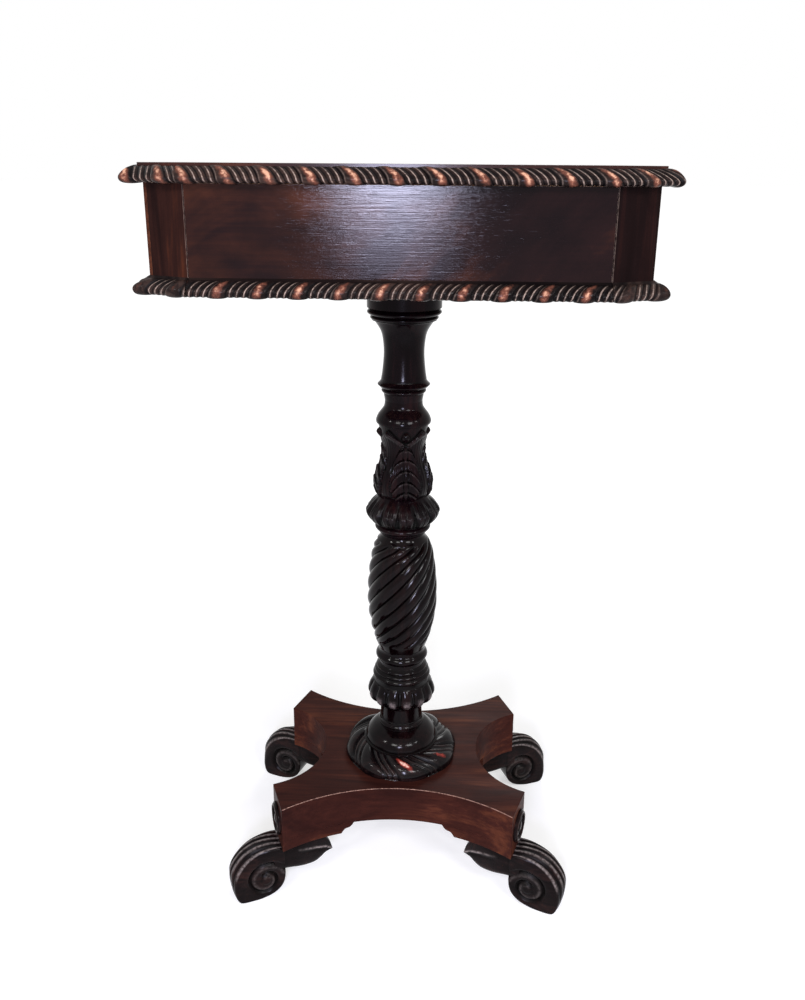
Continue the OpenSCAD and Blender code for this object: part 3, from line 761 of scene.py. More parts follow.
@dataclass
class Cut:
    """What carving does to each point: how far it rises and turns, its wear, its rubbing and painted
    highlight, and its painted shade.
    """

    rise: Any = 0.0
    turn: Any = 0.0
    wear: Any = 0.0
    rub: Any = 0.0
    grime: Any = 0.0

    def add(self, where: Any = True, **amounts: Any) -> None:
        """Adds to the named amounts where a condition holds."""
        for name, amount in amounts.items():
            setattr(self, name, getattr(self, name) + np.where(where, amount, 0))

    def darken(self, height: Array, notches: Sequence[float], depth: float, width: float) -> None:
        """Adds painted shade in notches at the given heights."""
        for notch in notches:
            self.add(grime=depth * bell(height, notch, width))

    def paint(self, piece: Piece) -> None:
        """Stores the wear, the rubbing and painted highlight, and the painted shade on a piece's points."""
        paint(piece, wear=self.wear, rub=self.rub, grime=self.grime)


CarvingRule = Callable[[Array, Array, Array], Cut]


@dataclass
class TurnedPiece:
    """A piece turned round an upright axis. Its outline is in (radius, height), in millimetres."""

    name: str
    outline: Sequence[Point]
    sides: int

    def make(self) -> Piece:
        """Draws the outline by extruding a point and spins it.

        Returns:
            The turned piece, closed and at the origin.
        """
        deselect()
        radius, height = self.outline[0]
        bpy.ops.mesh.primitive_plane_add(size=MM, location=(radius * MM, 0, height * MM))
        piece = bpy.context.object
        piece.name = self.name
        bpy.ops.object.mode_set(mode="EDIT")
        bpy.ops.mesh.merge(type="CENTER")
        for (r0, z0), (r1, z1) in zip(self.outline, self.outline[1:]):
            step = ((r1 - r0) * MM, 0, (z1 - z0) * MM)
            bpy.ops.mesh.extrude_vertices_move(TRANSFORM_OT_translate={"value": step})
        bpy.ops.mesh.select_all(action="SELECT")
        bpy.ops.mesh.spin(steps=self.sides, angle=2 * math.pi, center=(0, 0, 0), axis=(0, 0, 1))
        close_shell(piece)
        bpy.ops.object.transform_apply(location=True, rotation=True, scale=True)
        return piece

    def carved(self, rule: CarvingRule) -> Piece:
        """Turns the piece and then carves it.

        Args:
            rule: Takes each point's azimuth in degrees from the front, its height and its radius in mm.

        Returns:
            The carved piece.
        """
        piece = self.make()
        places = coordinates(piece) / MM
        normals = coordinates(piece, "normal")
        azimuth = np.degrees(np.arctan2(places[:, 0], -places[:, 1]))
        cut = rule(azimuth, places[:, 2], np.hypot(places[:, 0], places[:, 1]))
        places = places + normals * np.broadcast_to(cut.rise, azimuth.shape)[:, None]
        turned = np.radians(cut.turn)
        x = places[:, 0] * np.cos(turned) - places[:, 1] * np.sin(turned)
        y = places[:, 0] * np.sin(turned) + places[:, 1] * np.cos(turned)
        move_points(piece, np.column_stack([x, y, places[:, 2]]) * MM)
        cut.paint(piece)
        return piece


@dataclass(frozen=True)
class LobePattern:
    """One repeat of gadrooning across the edge: a broad lobe and thin reeds beside it."""

    share: float = 0.42
    reeds: int = 3
    reed_rise: float = 0.42
    line: float = 0.18
    swell_power: float = 2.2
    reed_power: float = 1.25
    shoulder: float = 0.12
    shoulder_width: float = 0.05
    shade: float = 0.95
    patch_width: float = 0.24
    patch_length: float = 0.32
    patch_across: float = 0.6
    patch_along: float = 0.45
    patch_slant: float = 0.25

    def cut(self, phase: Array, widen: Array, along: Array) -> Cut:
        """Gives the height from 0 to 1 and the finish of each point, with painted highlights on the reed
        crests and the broad lobe's shoulder and painted shade in the valleys.

        Args:
            phase: Place along the edge, counted in repeats.
            widen: How much wider than its mean the broad lobe is at each point.
            along: Place along the lobe, from 0 to 1.

        Returns:
            The cut.
        """
        q = phase % 1
        share = self.share * widen
        broad = q < share
        t = np.where(broad, q / share, ((q - share) / (1 - share) * self.reeds) % 1)
        across = np.abs(2 * t - 1)
        swell = arch(across, self.swell_power)
        reed = self.reed_rise * (1 - across**self.reed_power)
        centre = self.patch_across + self.patch_slant * (along - self.patch_along)
        patch = bell(t, centre, self.patch_width) * bell(along, self.patch_along, self.patch_length)
        # Painted highlight along each reed's crest and the broad lobe's shoulder, and painted shade in the
        # valleys
        line = unit(1 - across / self.line) ** 0.6
        shoulder = 0.3 * unit(1 - np.abs(t - self.shoulder) / self.shoulder_width)
        valley = np.where(broad, unit((across - 0.78) / 0.18), unit((across - 0.62) / 0.3))
        return Cut(
            rise=np.where(broad, swell, reed),
            wear=np.where(broad, patch, 0),
            rub=np.where(broad, shoulder, line),
            grime=self.shade * valley,
        )


class EdgeKind(Enum):
    """Which run of moulding a strip belongs to."""

    TOP = "top"
    LOW = "low"
    DRAWER = "drawer"


CORNERS: Dict[str, Tuple[int, int]] = {
    "front_left": (-1, -1), "front_right": (1, -1), "back_left": (-1, 1), "back_right": (1, 1),
}
SIDE_EDGES: Dict[str, Sequence[int]] = {
    "front": [0], "back": [4], "left": [6], "right": [2], "corners": [1, 3, 5, 7],
}


@dataclass
class FriezePlan:
    """The octagon of the frieze box, from the CAD boxes, in millimetres."""

    half_w: float = from_box("corner_post_front_right", HIGH, X)
    half_d: float = from_box("corner_post_front_right", LOW, Y, sign=-1)
    post_in: float = from_box("corner_post_front_right", LOW, X)
    front_half: float = from_box("drawer_front", HIGH, X)
    cant_y: float = 17.0

    @property
    def cant(self) -> Tuple[float, float]:
        """Gives a canted edge's width from left to right, and its length."""
        cant_x = self.half_w - self.post_in
        return cant_x, math.hypot(cant_x, self.cant_y)

    def octagon(self, corner: int, out: float) -> Vector:
        """Gives an octagon's corner a distance outside the frieze, counted from the front left.

        Args:
            corner: The corner's number, from 0 to 7.
            out: The distance outside the frieze.

        Returns:
            The corner's place in plan.
        """
        cant_x, cant = self.cant
        end_x = self.post_in + out * (cant - cant_x) / self.cant_y
        end_y = self.half_d - self.cant_y + out * (cant - self.cant_y) / cant_x
        x = (-end_x, end_x, self.half_w + out, self.half_w + out)[corner % 4]
        y = (-self.half_d - out, -self.half_d - out, -end_y, end_y)[corner % 4]
        return Vector((x, y)) if corner < 4 else Vector((-x, -y))

    def corner(self, kind: EdgeKind, corner: int, out: float) -> Vector:
        """Gives the corner of a run of moulding, which beside the drawer is cut off square.

        Args:
            kind: The run of moulding.
            corner: The corner's number, from 0 to 7.
            out: The distance outside the frieze.

        Returns:
            The corner's place in plan.
        """
        side = -1 if corner == 0 else 1
        if kind is EdgeKind.DRAWER:
            return Vector((side * self.front_half, -self.half_d - out))
        if kind is EdgeKind.LOW and corner in (0, 1):
            cant_x, cant = self.cant
            return Vector((side * self.post_in, -self.half_d - out * cant / cant_x))
        return self.octagon(corner, out)


@dataclass
class GadroonMoulding:
    """A carved moulding round the frieze octagon."""

    kind: EdgeKind
    plan: FriezePlan
    section: Sequence[Point]
    base_z: float
    out: float
    lean: float
    rise: float
    anchor: float
    pitch: float
    carved_to: float
    carved_from: float = 0.0
    pattern: LobePattern = LobePattern()
    column: float = 0.5
    taper: float = 17.0
    worn: float = 1.0
    corner_worn: float = 1.0
    half_depth: float = 7.0
    # How dark the plain, uncarved bands are painted
    plain_grime: float = 0.35

    def length(self, edge: int) -> float:
        """Gives an edge's length half way out on the moulding.

        Args:
            edge: The edge's number, from 0 at the front, counted to the right.

        Returns:
            The length, in mm.
        """
        middle = self.out + self.half_depth
        start = self.plan.corner(self.kind, edge, middle)
        return (self.plan.corner(self.kind, (edge + 1) % 8, middle) - start).length

    def start(self, edge: int) -> float:
        """Gives how far round from the front's middle an edge starts, so that lobes run on at corners.

        Args:
            edge: The edge's number, from 0 at the front, counted to the right.

        Returns:
            The distance in mm, counted to the right.
        """
        half_front = self.length(0) / 2
        if edge == 0 or self.kind is EdgeKind.DRAWER:
            return -half_front
        return half_front + sum(self.length(e) for e in range(1, edge))

    def strip(self, edge: int) -> Piece:
        """Carves one straight length from a grid that is wrapped round the section.

        Args:
            edge: The edge's number, from 0 at the front, counted to the right.

        Returns:
            The closed length of moulding.
        """
        length = self.length(edge)
        line = np.array(smooth_line(self.section, 4))
        rows = len(line)
        piece, along, around = wrapped_grid(int(length / self.column), rows)
        along = along * length
        row = np.round(around * rows).astype(int) % rows

        run = np.concatenate([[0], np.cumsum(np.hypot(*np.diff(line, axis=0).T))])
        carved = unit((run / run[-1] - self.carved_from) / (self.carved_to - self.carved_from))
        slope = np.gradient(line, axis=0)
        slope /= np.linalg.norm(slope, axis=1)[:, None]
        share = carved[row]
        lean = self.lean * (0.5 - (1 - share) ** 2)
        shifted = along + lean * unit(np.minimum(along, length - along) / self.taper)
        phase = (self.start(edge) + shifted - lean - self.anchor) / self.pitch
        lobes = self.pattern.cut(phase + self.pattern.share / 2, 0.8 + 0.4 * share, share)
        ends = unit(np.sin(np.pi * share)) ** 0.45
        lift = self.rise * lobes.rise * ends
        out = self.out + line[row, 0] - slope[row, 1] * lift
        z = self.base_z + line[row, 1] + slope[row, 0] * lift

        near, far = (self._mitre(corner % 8, out) for corner in (edge, edge + 1))
        t = (shifted / length)[:, None]
        move_points(piece, np.column_stack([near * (1 - t) + far * t, z]) * MM)
        carved_here = (share > 0.001) & (share < 0.999)
        worn = self.corner_worn if edge % 2 else self.worn
        # The carved lobes carry their painted highlights and painted shade; the plain bands are darkened
        # evenly
        paint(
            piece,
            wear=np.where(carved_here, worn * lobes.wear, 0),
            rub=np.where(carved_here, lobes.rub * ends**2, 0),
            grime=np.where(carved_here, lobes.grime, self.plain_grime),
        )
        close_shell(piece)
        return piece

    def _mitre(self, corner: int, out: Array) -> Array:
        """Gives the places in plan on a corner's mitre, at distances outside the frieze."""
        inner, outer = (np.array(self.plan.corner(self.kind, corner, reach), float) for reach in (0, 1))
        return inner + out[:, None] * (outer - inner)

    def run(self, name: str, edges: Sequence[int]) -> Piece:
        """Carves one or more lengths and joins them.

        Args:
            name: The piece's name.
            edges: The edges that it covers.

        Returns:
            The finished moulding.
        """
        piece = join([self.strip(edge) for edge in edges], name)
        settle(piece, angle=50)
        return piece

    def lay(self, stem: str, **grains: Grain) -> None:
        """Carves the named lengths, each with its grain, and lets them stand for their nodes.

        Args:
            stem: The start of the nodes' names.
            grains: The lengths by name, each with its grain.
        """
        for side, grain in grains.items():
            piece = self.run(f"{stem}_{side}_carved", SIDE_EDGES[side])
            register(piece, GADROON_WOOD.material(grain), f"{stem}_{side}")


@dataclass
class DressedCopy:
    """A copy of a CAD node with rounded arrises, on which the polish is rubbed through."""

    node: str
    rounding: float
    wear: float
    worn_where: Optional[Callable[[Array], Array]] = None
    segments: int = 2
    arris_bend: float = 28.0
    flat_bend: float = 0.3

    def dress(self, material: Material, body: Body = Body.TABLE) -> None:
        """Makes the copy, levels its faces and lets it stand for its node.

        Args:
            material: The finish.
            body: The body that it moves with.
        """
        piece = self.shape()
        level_faces(piece)
        register(piece, material, self.node, body)

    def shape(self) -> Piece:
        """Copies the node's mesh, cleans it and rounds its arrises.

        Returns:
            The new piece, whose large faces aren't levelled yet.
        """
        source = frame["nodes"][self.node]
        piece = source.copy()
        piece.data = source.data.copy()
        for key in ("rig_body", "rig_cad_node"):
            del piece[key]
        piece.parent = None
        piece.hide_render = piece.hide_viewport = False
        piece.name = f"{self.node}_dressed"
        bpy.context.scene.collection.objects.link(piece)
        edit_all(piece)
        bpy.ops.mesh.remove_doubles(threshold=1e-6)
        bpy.ops.mesh.dissolve_limited(angle_limit=math.radians(self.flat_bend))
        bpy.ops.object.mode_set(mode="OBJECT")
        piece.data.materials.clear()
        for _ in range(2):
            piece.data.materials.append(None)
        arris = piece.modifiers.new("arris", "BEVEL")
        arris.width = self.rounding * MM
        arris.segments = self.segments
        arris.limit_method = "ANGLE"
        arris.angle_limit = math.radians(self.arris_bend)
        arris.material = 1
        arris.use_clamp_overlap = True
        pick(piece)
        bpy.ops.object.modifier_apply(modifier="arris")
        rounded = np.zeros(len(piece.data.polygons), int)
        piece.data.polygons.foreach_get("material_index", rounded)
        worn = rounded * self.wear
        if self.worn_where:
            worn = worn * self.worn_where(face_centres(piece))
        paint(piece, "FACE", rub=worn)
        piece.data.polygons.foreach_set("material_index", np.zeros_like(rounded))
        settle(piece, angle=35)
        return piece


# The table's parts


@dataclass
class TableTop:
    """The top board and the gadrooned moulding round it."""

    plan: FriezePlan
    lip: float = 3.0
    section: Sequence[Point] = (
        (0, 12.4), (2.2, 11.8), (4.8, 10.0), (7.5, 7.6), (9.8, 5.2), (10.9, 3.2), (9.6, 1.3), (6.0, 0.4),
        (0, 0.1),
    )

    def build(self) -> None:
        """Makes the board and its mouldings."""
        DressedCopy("top_board", rounding=1.0, wear=0.2).dress(TOP_WOOD.material(Grain.WIDTH))
        moulding = GadroonMoulding(
            EdgeKind.TOP,
            self.plan,
            self.section,
            base_z=box_mm("top_gadroon_front")[LOW].z,
            out=self.lip,
            lean=11.0,
            rise=2.5,
            anchor=-6.4,
            pitch=32.5,
            carved_to=0.86,
        )
        wide, deep = Grain.WIDTH, Grain.DEPTH
        moulding.lay("top_gadroon", front=wide, back=wide, left=deep, right=deep, corners=wide)


LOW_SECTION: Sequence[Point] = (
    (0, 14.9), (1.2, 14.0), (2.6, 13.0), (5.4, 11.3), (8.1, 9.0), (10.2, 6.3), (10.7, 3.9), (9.3, 1.6),
    (6.0, 0.4), (0, 0.1),
)
LOW_PITCH = 32.4


def low_moulding(kind: EdgeKind, plan: FriezePlan, base_z: float) -> GadroonMoulding:
    """Gives the lower moulding, which is the same on the frieze and on the drawer.

    Args:
        kind: Whether it is on the frieze or on the drawer.
        plan: The frieze's plan.
        base_z: Height of its underside.

    Returns:
        The moulding.
    """
    return GadroonMoulding(
        kind,
        plan,
        LOW_SECTION,
        base_z=base_z,
        out=0.0,
        lean=-13.0,
        rise=2.3,
        anchor=5.9 - LOW_PITCH / 2,
        pitch=LOW_PITCH,
        carved_from=0.12,
        carved_to=0.84,
        pattern=LobePattern(share=0.44, patch_across=0.5, patch_slant=0.0),
        worn=0.8,
        corner_worn=0.2,
    )


@dataclass
class Frieze:
    """The box under the top: canted corners, panels, lower moulding and the carcass inside."""

    plan: FriezePlan
    carcass: Sequence[Tuple[Grain, Sequence[str]]] = (
        (Grain.WIDTH, ("carcass_bottom", "front_rail")),
        (Grain.DEPTH, (
            "runner_left", "runner_right", "guide_left", "guide_right", "kicker_left", "kicker_right",
            "drawer_stops",
        )),
    )
    strip_width: float = 3.6
    score_width: float = 0.7

    def build(self) -> None:
        """Makes the posts, panels and mouldings, and finishes the carcass."""
        for corner in CORNERS:
            node = f"corner_post_{corner}"
            # The front left post takes the plain veneer; the others take the darker copy that paints shade
            # on them
            wood = POST_WOOD if corner == "front_left" else SHADED_POST_WOOD
            register(self._post(node), wood.material(Grain.UPRIGHT), node)
        wide, deep = Grain.WIDTH, Grain.DEPTH
        for node, grain in (("side_panel_left", deep), ("side_panel_right", deep), ("back_panel", wide)):
            DressedCopy(node, rounding=0.25, wear=0.2).dress(FRIEZE_WOOD.material(grain))
        moulding = low_moulding(EdgeKind.LOW, self.plan, box_mm("low_gadroon_back")[LOW].z)
        moulding.lay("low_gadroon", back=wide, left=deep, right=deep, corners=deep)
        for grain, nodes in self.carcass:
            finish_nodes(PINE.material(grain), *nodes)
        finish_nodes(STEEL.material(), "top_screws")

    def _post(self, node: str) -> Piece:
        """Copies a corner post and marks a narrow strip along its outer arris, painted light, and a score
        beside it, painted dark.

        Args:
            node: The post's CAD node.

        Returns:
            The dressed post.
        """
        piece = DressedCopy(node, rounding=0.5, wear=0.35).shape()
        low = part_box(node)[LOW]
        side = 1 if low.x > 0 else -1
        face = 1 if low.y > 0 else -1
        cant_x = self.plan.cant[0]
        cant = Vector((side * cant_x, -face * self.plan.cant_y, 0)).normalized()
        arris_y = self.plan.half_d - self.plan.cant_y
        arris = Vector((side * self.plan.half_w, face * arris_y, 0)) * MM
        scored_to = self.strip_width + self.score_width
        for inset in (self.strip_width, scored_to):
            edit_all(piece)
            bpy.ops.mesh.bisect(plane_co=arris - cant * inset * MM, plane_no=cant)
            bpy.ops.object.mode_set(mode="OBJECT")
        outward = Vector((-cant.y * side * face, cant.x * side * face, 0))
        outward = outward if outward.y * face > 0 else -outward
        wear = np.zeros(len(piece.data.polygons))
        grime = np.zeros_like(wear)
        # The strip beside the arris is painted light, partly as wear and partly as a painted highlight; the
        # score gets painted shade
        for i, polygon in enumerate(piece.data.polygons):
            if polygon.normal.dot(outward) > 0.97:
                inset = (arris - polygon.center).dot(cant) / MM
                wear[i] = 0.4 if inset < self.strip_width and side * face > 0 else 0.0
                grime[i] = 0.6 if self.strip_width < inset < scored_to else 0
        paint(piece, "FACE", wear=wear, grime=grime)
        level_faces(piece)
        return piece


@dataclass
class Drawer:
    """The hidden drawer, whose front carries its own length of the lower moulding."""

    plan: FriezePlan
    box: Sequence[Tuple[Grain, Sequence[str]]] = (
        (Grain.DEPTH, ("drawer_side_left", "drawer_side_right")),
        (Grain.WIDTH, ("drawer_back", "drawer_bottom")),
    )

    def build(self) -> None:
        """Makes the front and its moulding, and finishes the drawer box."""
        veneer = FRIEZE_WOOD.material(Grain.WIDTH)
        DressedCopy("drawer_front", rounding=0.4, wear=0.85).dress(veneer, Body.DRAWER)
        moulding = low_moulding(EdgeKind.DRAWER, self.plan, box_mm("drawer_gadroon")[LOW].z)
        piece = moulding.run("drawer_gadroon_carved", [0])
        register(piece, GADROON_WOOD.material(Grain.WIDTH), "drawer_gadroon", Body.DRAWER)
        for grain, nodes in self.box:
            finish_nodes(OAK.material(grain), *nodes)
        finish_nodes(STEEL.material(), "drawer_nails")


@dataclass
class Column:
    """The turned and carved column, from the capital down to the collar on the platform."""

    tenon: float = 15.0
    tenon_gap: float = 0.15
    runner_z: float = from_box("upper_stem", HIGH, Z)
    bearer_z: float = from_box("bearer_block", LOW, Z)
    stem_z: float = from_box("carved_vase", HIGH, Z)
    vase_z: float = from_box("twist_baluster", HIGH, Z)
    twist_z: float = from_box("lower_stem", HIGH, Z)
    slab_z: float = from_box("platform_slab", LOW, Z)
    slab_top: float = from_box("platform_slab", HIGH, Z)
    leaf_azimuth: float = 8.1
    leaf_low: float = 43.0
    leaf_high: float = 99.0
    leaf_half: Sequence[Point] = (
        (43, 21), (48, 28), (56, 32.5), (74, 33), (84, 29), (91, 22), (96, 12), (99, 0),
    )
    hanging_leaves: int = 12
    lobe_line: float = 85.3
    lobe_pitch: float = 10.6
    twist_lobes: int = 12
    twist_rise: float = 3.5
    knop_lobes: int = 14
    knop_azimuth: float = 12.2
    knop_lobe: float = 0.86
    ring_h: float = 17.0
    ring_repeats: int = 8
    ring_swirl: float = 22.0
    ring_azimuth: float = 1.7

    def build(self) -> None:
        """Makes the column's sections from the top down."""
        upper, lower = (wood.material(Grain.UPRIGHT) for wood in (COLUMN_WOOD, LOW_COLUMN_WOOD))
        block = DressedCopy("bearer_block", rounding=1.0, wear=0.1)
        block.dress(COLUMN_WOOD.material(Grain.WIDTH))
        sections = (
            (self.upper_stem(), "upper_stem", upper),
            (self.vase(), "carved_vase", upper),
            (self.twist(), "twist_baluster", lower),
            (self.lower_stem(), "lower_stem", lower),
        )
        for piece, node, wood in sections:
            settle(piece, angle=38)
            register(piece, wood, node)
        ring = self.ring()
        settle(ring, angle=50)
        register(ring, RING_WOOD.material(Grain.WIDTH), "base_collar")
        finish_nodes(PINE.material(Grain.UPRIGHT), "tenon_wedges")
        finish_nodes(STEEL.material(), "bearer_screws")

    def upper_stem(self) -> Piece:
        """Turns the stem with its neck rings and capital.

        Returns:
            The stem.
        """
        low, top = self.stem_z, self.bearer_z
        waist_low = low + 22
        waist = top - 38.3 - waist_low
        neck = [
            (0, 0), (18.9, 0), (19.0, 0.3), (20.3, 8), *bead(20.9, 1.4, 8, 12), (22.6, 12.6), (24.6, 14.6),
            (26.0, 16), (26.1, 16.5), (24.9, 17.6), (22.9, 20), (22.6, 21),
        ]
        shaft = [
            (22.6, 0), (21.3, 0.18 * waist), (20.0, 0.53 * waist), (20.9, 0.81 * waist), (23.2, waist),
        ]
        spread = [(29.1, -29.1), (31.8, -27.8)]
        capital = [
            *bead(31.8, 1.6, -27.2, -23.6), *bead(33.2, 3.2, -23.1, -17, 12),
            (35.4, -16.6), (36.5, -15.6), (36.5, 0), (self.tenon, 0),
        ]
        end = self.runner_z - self.tenon_gap
        outline = [
            *raised(low, neck),
            *smooth_line([*raised(waist_low, shaft), *raised(top, spread)], 8),
            *raised(top, capital),
            (self.tenon, end), (0, end),
        ]
        notches = (low + 12.2, low + 21, top - 27.4, top - 23.4, top - 16.8)

        def rule(azimuth: Array, height: Array, radius: Array) -> Cut:
            """Paints shade into the notches between the rings.

            Args:
                azimuth: Azimuth of each point, in degrees from the front; not used.
                height: Height of each point, in mm.
                radius: Radius of each point, in mm; not used.

            Returns:
                The cut.
            """
            cut = Cut()
            cut.darken(height, notches, 0.8, 0.7)
            return cut

        return TurnedPiece("upper_stem_turned", outline, sides=112).carved(rule)

    def vase(self) -> Piece:
        """Carves the vase: standing leaves over a collar of hanging ones.

        Returns:
            The vase.
        """
        low, top = self.vase_z, self.stem_z
        collar = [(29.4, 13.5), (34.5, 17.9), (37.5, 24.6), (34.4, 32.3), (29.5, 38)]
        body = [
            (24.5, 43), (27.3, 49), (28.5, 58), (26.3, 68.5), (22.3, 79), (20.4, 90), (21.3, 101),
            (23.6, 111.5), (26.0, 119),
        ]
        lip = [*raised(low, [(27.5, 119.8), (27.7, 122.6), (25.4, 128)]), (19.9, top - 6.7), (18.9, top)]
        outline = [
            *raised(low, [(0, 0), (22.3, 0), (25.2, 3.4), *bead(25.2, 3.6, 4, 13, 14)]),
            *smooth_line(raised(low, collar), 12),
            (26.6, low + 40.5),
            *smooth_line(raised(low, body), 14),
            *smooth_line(lip, 6),
            (0, top),
        ]
        return TurnedPiece("carved_vase_leaves", outline, sides=320).carved(self._vase_rule)

    def _vase_rule(self, azimuth: Array, height: Array, radius: Array) -> Cut:
        """Raises the leaves of the vase.

        Args:
            azimuth: Azimuth of each point, in degrees from the front.
            height: Height of each point.
            radius: Radius of each point.

        Returns:
            The cut.
        """
        cut = Cut()
        up = height - self.vase_z
        off = np.abs((azimuth - self.leaf_azimuth + 45) % 90 - 45)
        across = np.radians(off) * radius
        leaf = self._acanthus(cut, up, across, off)
        self._water_leaf(cut, up, off, leaf)
        self._curled_tip(cut, up, across)
        self._hanging_leaves(cut, up, azimuth)
        return cut

    def _acanthus(self, cut: Cut, up: Array, across: Array, off: Array) -> Array:
        """Raises the four broad acanthus leaves, whose arched lobes stand up behind one another, with
        painted shade in the grooves, beside the rib and round the edge, and a painted highlight below each
        groove.

        Args:
            cut: The cut to add to.
            up: Height above the vase's foot.
            across: Distance from the nearest leaf's rib, in mm.
            off: The same in degrees.

        Returns:
            Which points lie on a leaf.
        """
        lobe = (up + 0.06 * across**2 - self.lobe_line) / self.lobe_pitch
        frac = lobe % 1
        from_line = (lobe - np.round(lobe)) * self.lobe_pitch
        half = np.interp(up, *zip(*self.leaf_half))
        half = half * (1 - 0.08 * np.cos(2 * math.pi * (frac + 0.1)))
        inside = (up > self.leaf_low) & (off < half) & (up < self.leaf_high)
        edge = unit((half - off) / 2.4) ** 0.6
        groove = bell(from_line, 0, 0.8) * unit(across / 1.6)
        puff = frac**1.3 * np.clip(across / 4, 0.3, 1)
        fingers = np.cos(across * 2.0 + 0.5 * up) * unit(across / 3)
        rib = bell(across, 0, 1.3)
        # Painted shade in each groove and beside the rib, and a painted highlight on each lobe just below
        # the groove above it
        beside = bell(across, 2.3, 0.6)
        cut.add(
            inside,
            rise=edge * (0.9 + 2.2 * puff + 0.2 * fingers - 1.2 * groove + 1.2 * rib - 0.5 * beside),
            rub=0.1 * edge * bell(frac, 0.86, 0.07),
            grime=0.95 * groove + 0.6 * beside,
        )
        # Painted shade in a dark outline just outside the leaf's edge and above its arch
        rim = bell(off, half + 1.6, 1.6) + bell(up, self.leaf_high + 0.6, 0.9) * (off < 12)
        outside = (up > self.leaf_low) & (up < self.leaf_high + 2) & ~inside
        cut.add(outside, rise=-0.8 * unit(rim), grime=0.9 * rim)
        return inside

    def _curled_tip(self, cut: Cut, up: Array, across: Array) -> None:
        """Raises the knob where an acanthus leaf's tip curls over, with painted shade round its outline.

        Args:
            cut: The cut to add to.
            up: Height above the vase's foot.
            across: Distance from the nearest leaf's rib, in mm.
        """
        from_middle = np.hypot(across / 4.2, (up - 108.6) / 5.6)
        curl = arch(from_middle, 2) * np.clip((up - 100) / 11, 0.3, 1)
        cut.add(from_middle < 1, rise=4.6 * curl)
        # Painted shade in a ring round the knob
        cut.add(grime=0.9 * bell(from_middle, 1.15, 0.14))

    def _water_leaf(self, cut: Cut, up: Array, off: Array, leaf: Array) -> None:
        """Raises the plain water leaves between the acanthus leaves, with edges that meet in a V, a faint
        painted highlight on the brim, and painted shade between the ridges, below the brim and above the V.

        Args:
            cut: The cut to add to.
            up: Height above the vase's foot.
            off: Degrees from the nearest acanthus leaf's rib.
            leaf: Which points lie on an acanthus leaf.
        """
        between = 45 - off
        top = 115 - 14.5 * between / 45
        inside = (up > self.leaf_low + 2) & (up < top) & ~leaf
        ridges = 0.5 + 0.5 * np.cos(between * 2 * math.pi / 8)
        brim = unit((up - top + 6.5) / 2.5) * unit((top - up) / 0.8)
        lift = unit((up - 86) / 26) ** 2 * (1 - 0.6 * between / 45)
        # A faint painted highlight on the brim; painted shade between the ridges, below the brim and in a
        # band above the V
        cut.add(
            inside,
            rise=0.2 + 0.2 * ridges + 3.0 * lift + 0.8 * brim,
            rub=0.06 * brim,
            grime=0.3 * (1 - ridges) * (1 - brim) + 0.3 * bell(up, top - 7, 0.8),
        )
        cut.add(up > top, grime=0.95 * bell(up, top + 1.5, 2.2))

    def _hanging_leaves(self, cut: Cut, up: Array, azimuth: Array) -> None:
        """Cuts the collar into hanging leaves that curl under at their tips, with faint painted highlights
        on the tips and painted shade between the leaves, along the veins and on the underside.

        Args:
            cut: The cut to add to.
            up: Height above the vase's foot.
            azimuth: Azimuth of each point, in degrees from the front.
        """
        inside = (up > 14) & (up < 40.5)
        t = off_centre((azimuth - self.leaf_azimuth) / (360 / self.hanging_leaves))
        drop = unit((34 - up) / 14)
        leaf = arch(t / (0.97 - 0.2 * drop**2), 2.6)
        vein = bell(t, 0, 0.09)
        striae = 0.5 + 0.5 * np.cos(t * 4 * math.pi)
        tip = bell(up, 26.5, 3.0)
        depth = np.sin(np.pi * unit((up - 13.6) / 26.9)) ** 0.5
        relief = -3.0 * (1 - leaf) - 0.7 * vein + 0.6 * striae * (1 - vein) + 0.9 * tip * leaf
        shade = 0.95 * (1 - leaf) ** 1.5 + 0.45 * vein + 0.3 * (1 - striae)
        # Painted shade between the leaves, along the veins and on the underside; a faint painted highlight
        # on the tips
        cut.add(
            inside,
            rise=depth * relief,
            rub=0.06 * tip * leaf * (1 - vein),
            grime=shade + 0.6 * unit((23 - up) / 8),
        )

    def twist(self) -> Piece:
        """Turns the baluster and cuts its winding lobes.

        Returns:
            The baluster.
        """
        low, top = self.twist_z, self.vase_z
        lower, upper = low + 28, low + 144.5
        foot = [(0, 0), (24, 0), (24.2, 4), *bead(25, 3, 4.6, 14.4, 14), (24.4, 16)]
        belly = [(24.5, 18), (31.5, 38), (36, 62), (37, 82), (35.8, 106)]
        shoulder = [*raised(top, [(32.1, -20), (28.2, -9)]), (24.5, low + 146.7)]
        outline = [
            *raised(low, foot),
            *smooth_line([*raised(low, belly), *shoulder], 16),
            *raised(top, [(23.2, -2), (22.4, -0.3), (22.4, 0), (0, 0)]),
        ]
        winding = (
            (24, -10), (39, 30), (55, 60), (73, 90), (92, 120), (111, 150), (127.5, 180), (139, 210),
            (147, 234),
        )

        def rule(azimuth: Array, height: Array, radius: Array) -> Cut:
            """Cuts round lobes with narrow valleys and winds them, faster where the baluster is slimmer, and
            paints shade into the valleys.

            Args:
                azimuth: Azimuth of each point, in degrees from the front.
                height: Height of each point, in mm.
                radius: Radius of each point, in mm.

            Returns:
                The cut.
            """
            fade = unit(np.minimum(height - lower, upper - height) / 3.5) ** 0.5
            crest = np.abs(np.cos(np.pi * self.twist_lobes * azimuth / 360)) ** 0.66
            return Cut(
                rise=-self.twist_rise * radius / 37 * fade * (1 - crest),
                turn=follow(height - low, winding),
                grime=0.9 * unit(1 - crest * 1.6) * fade,
            )

        return TurnedPiece("twist_baluster_lobes", outline, sides=288).carved(rule)

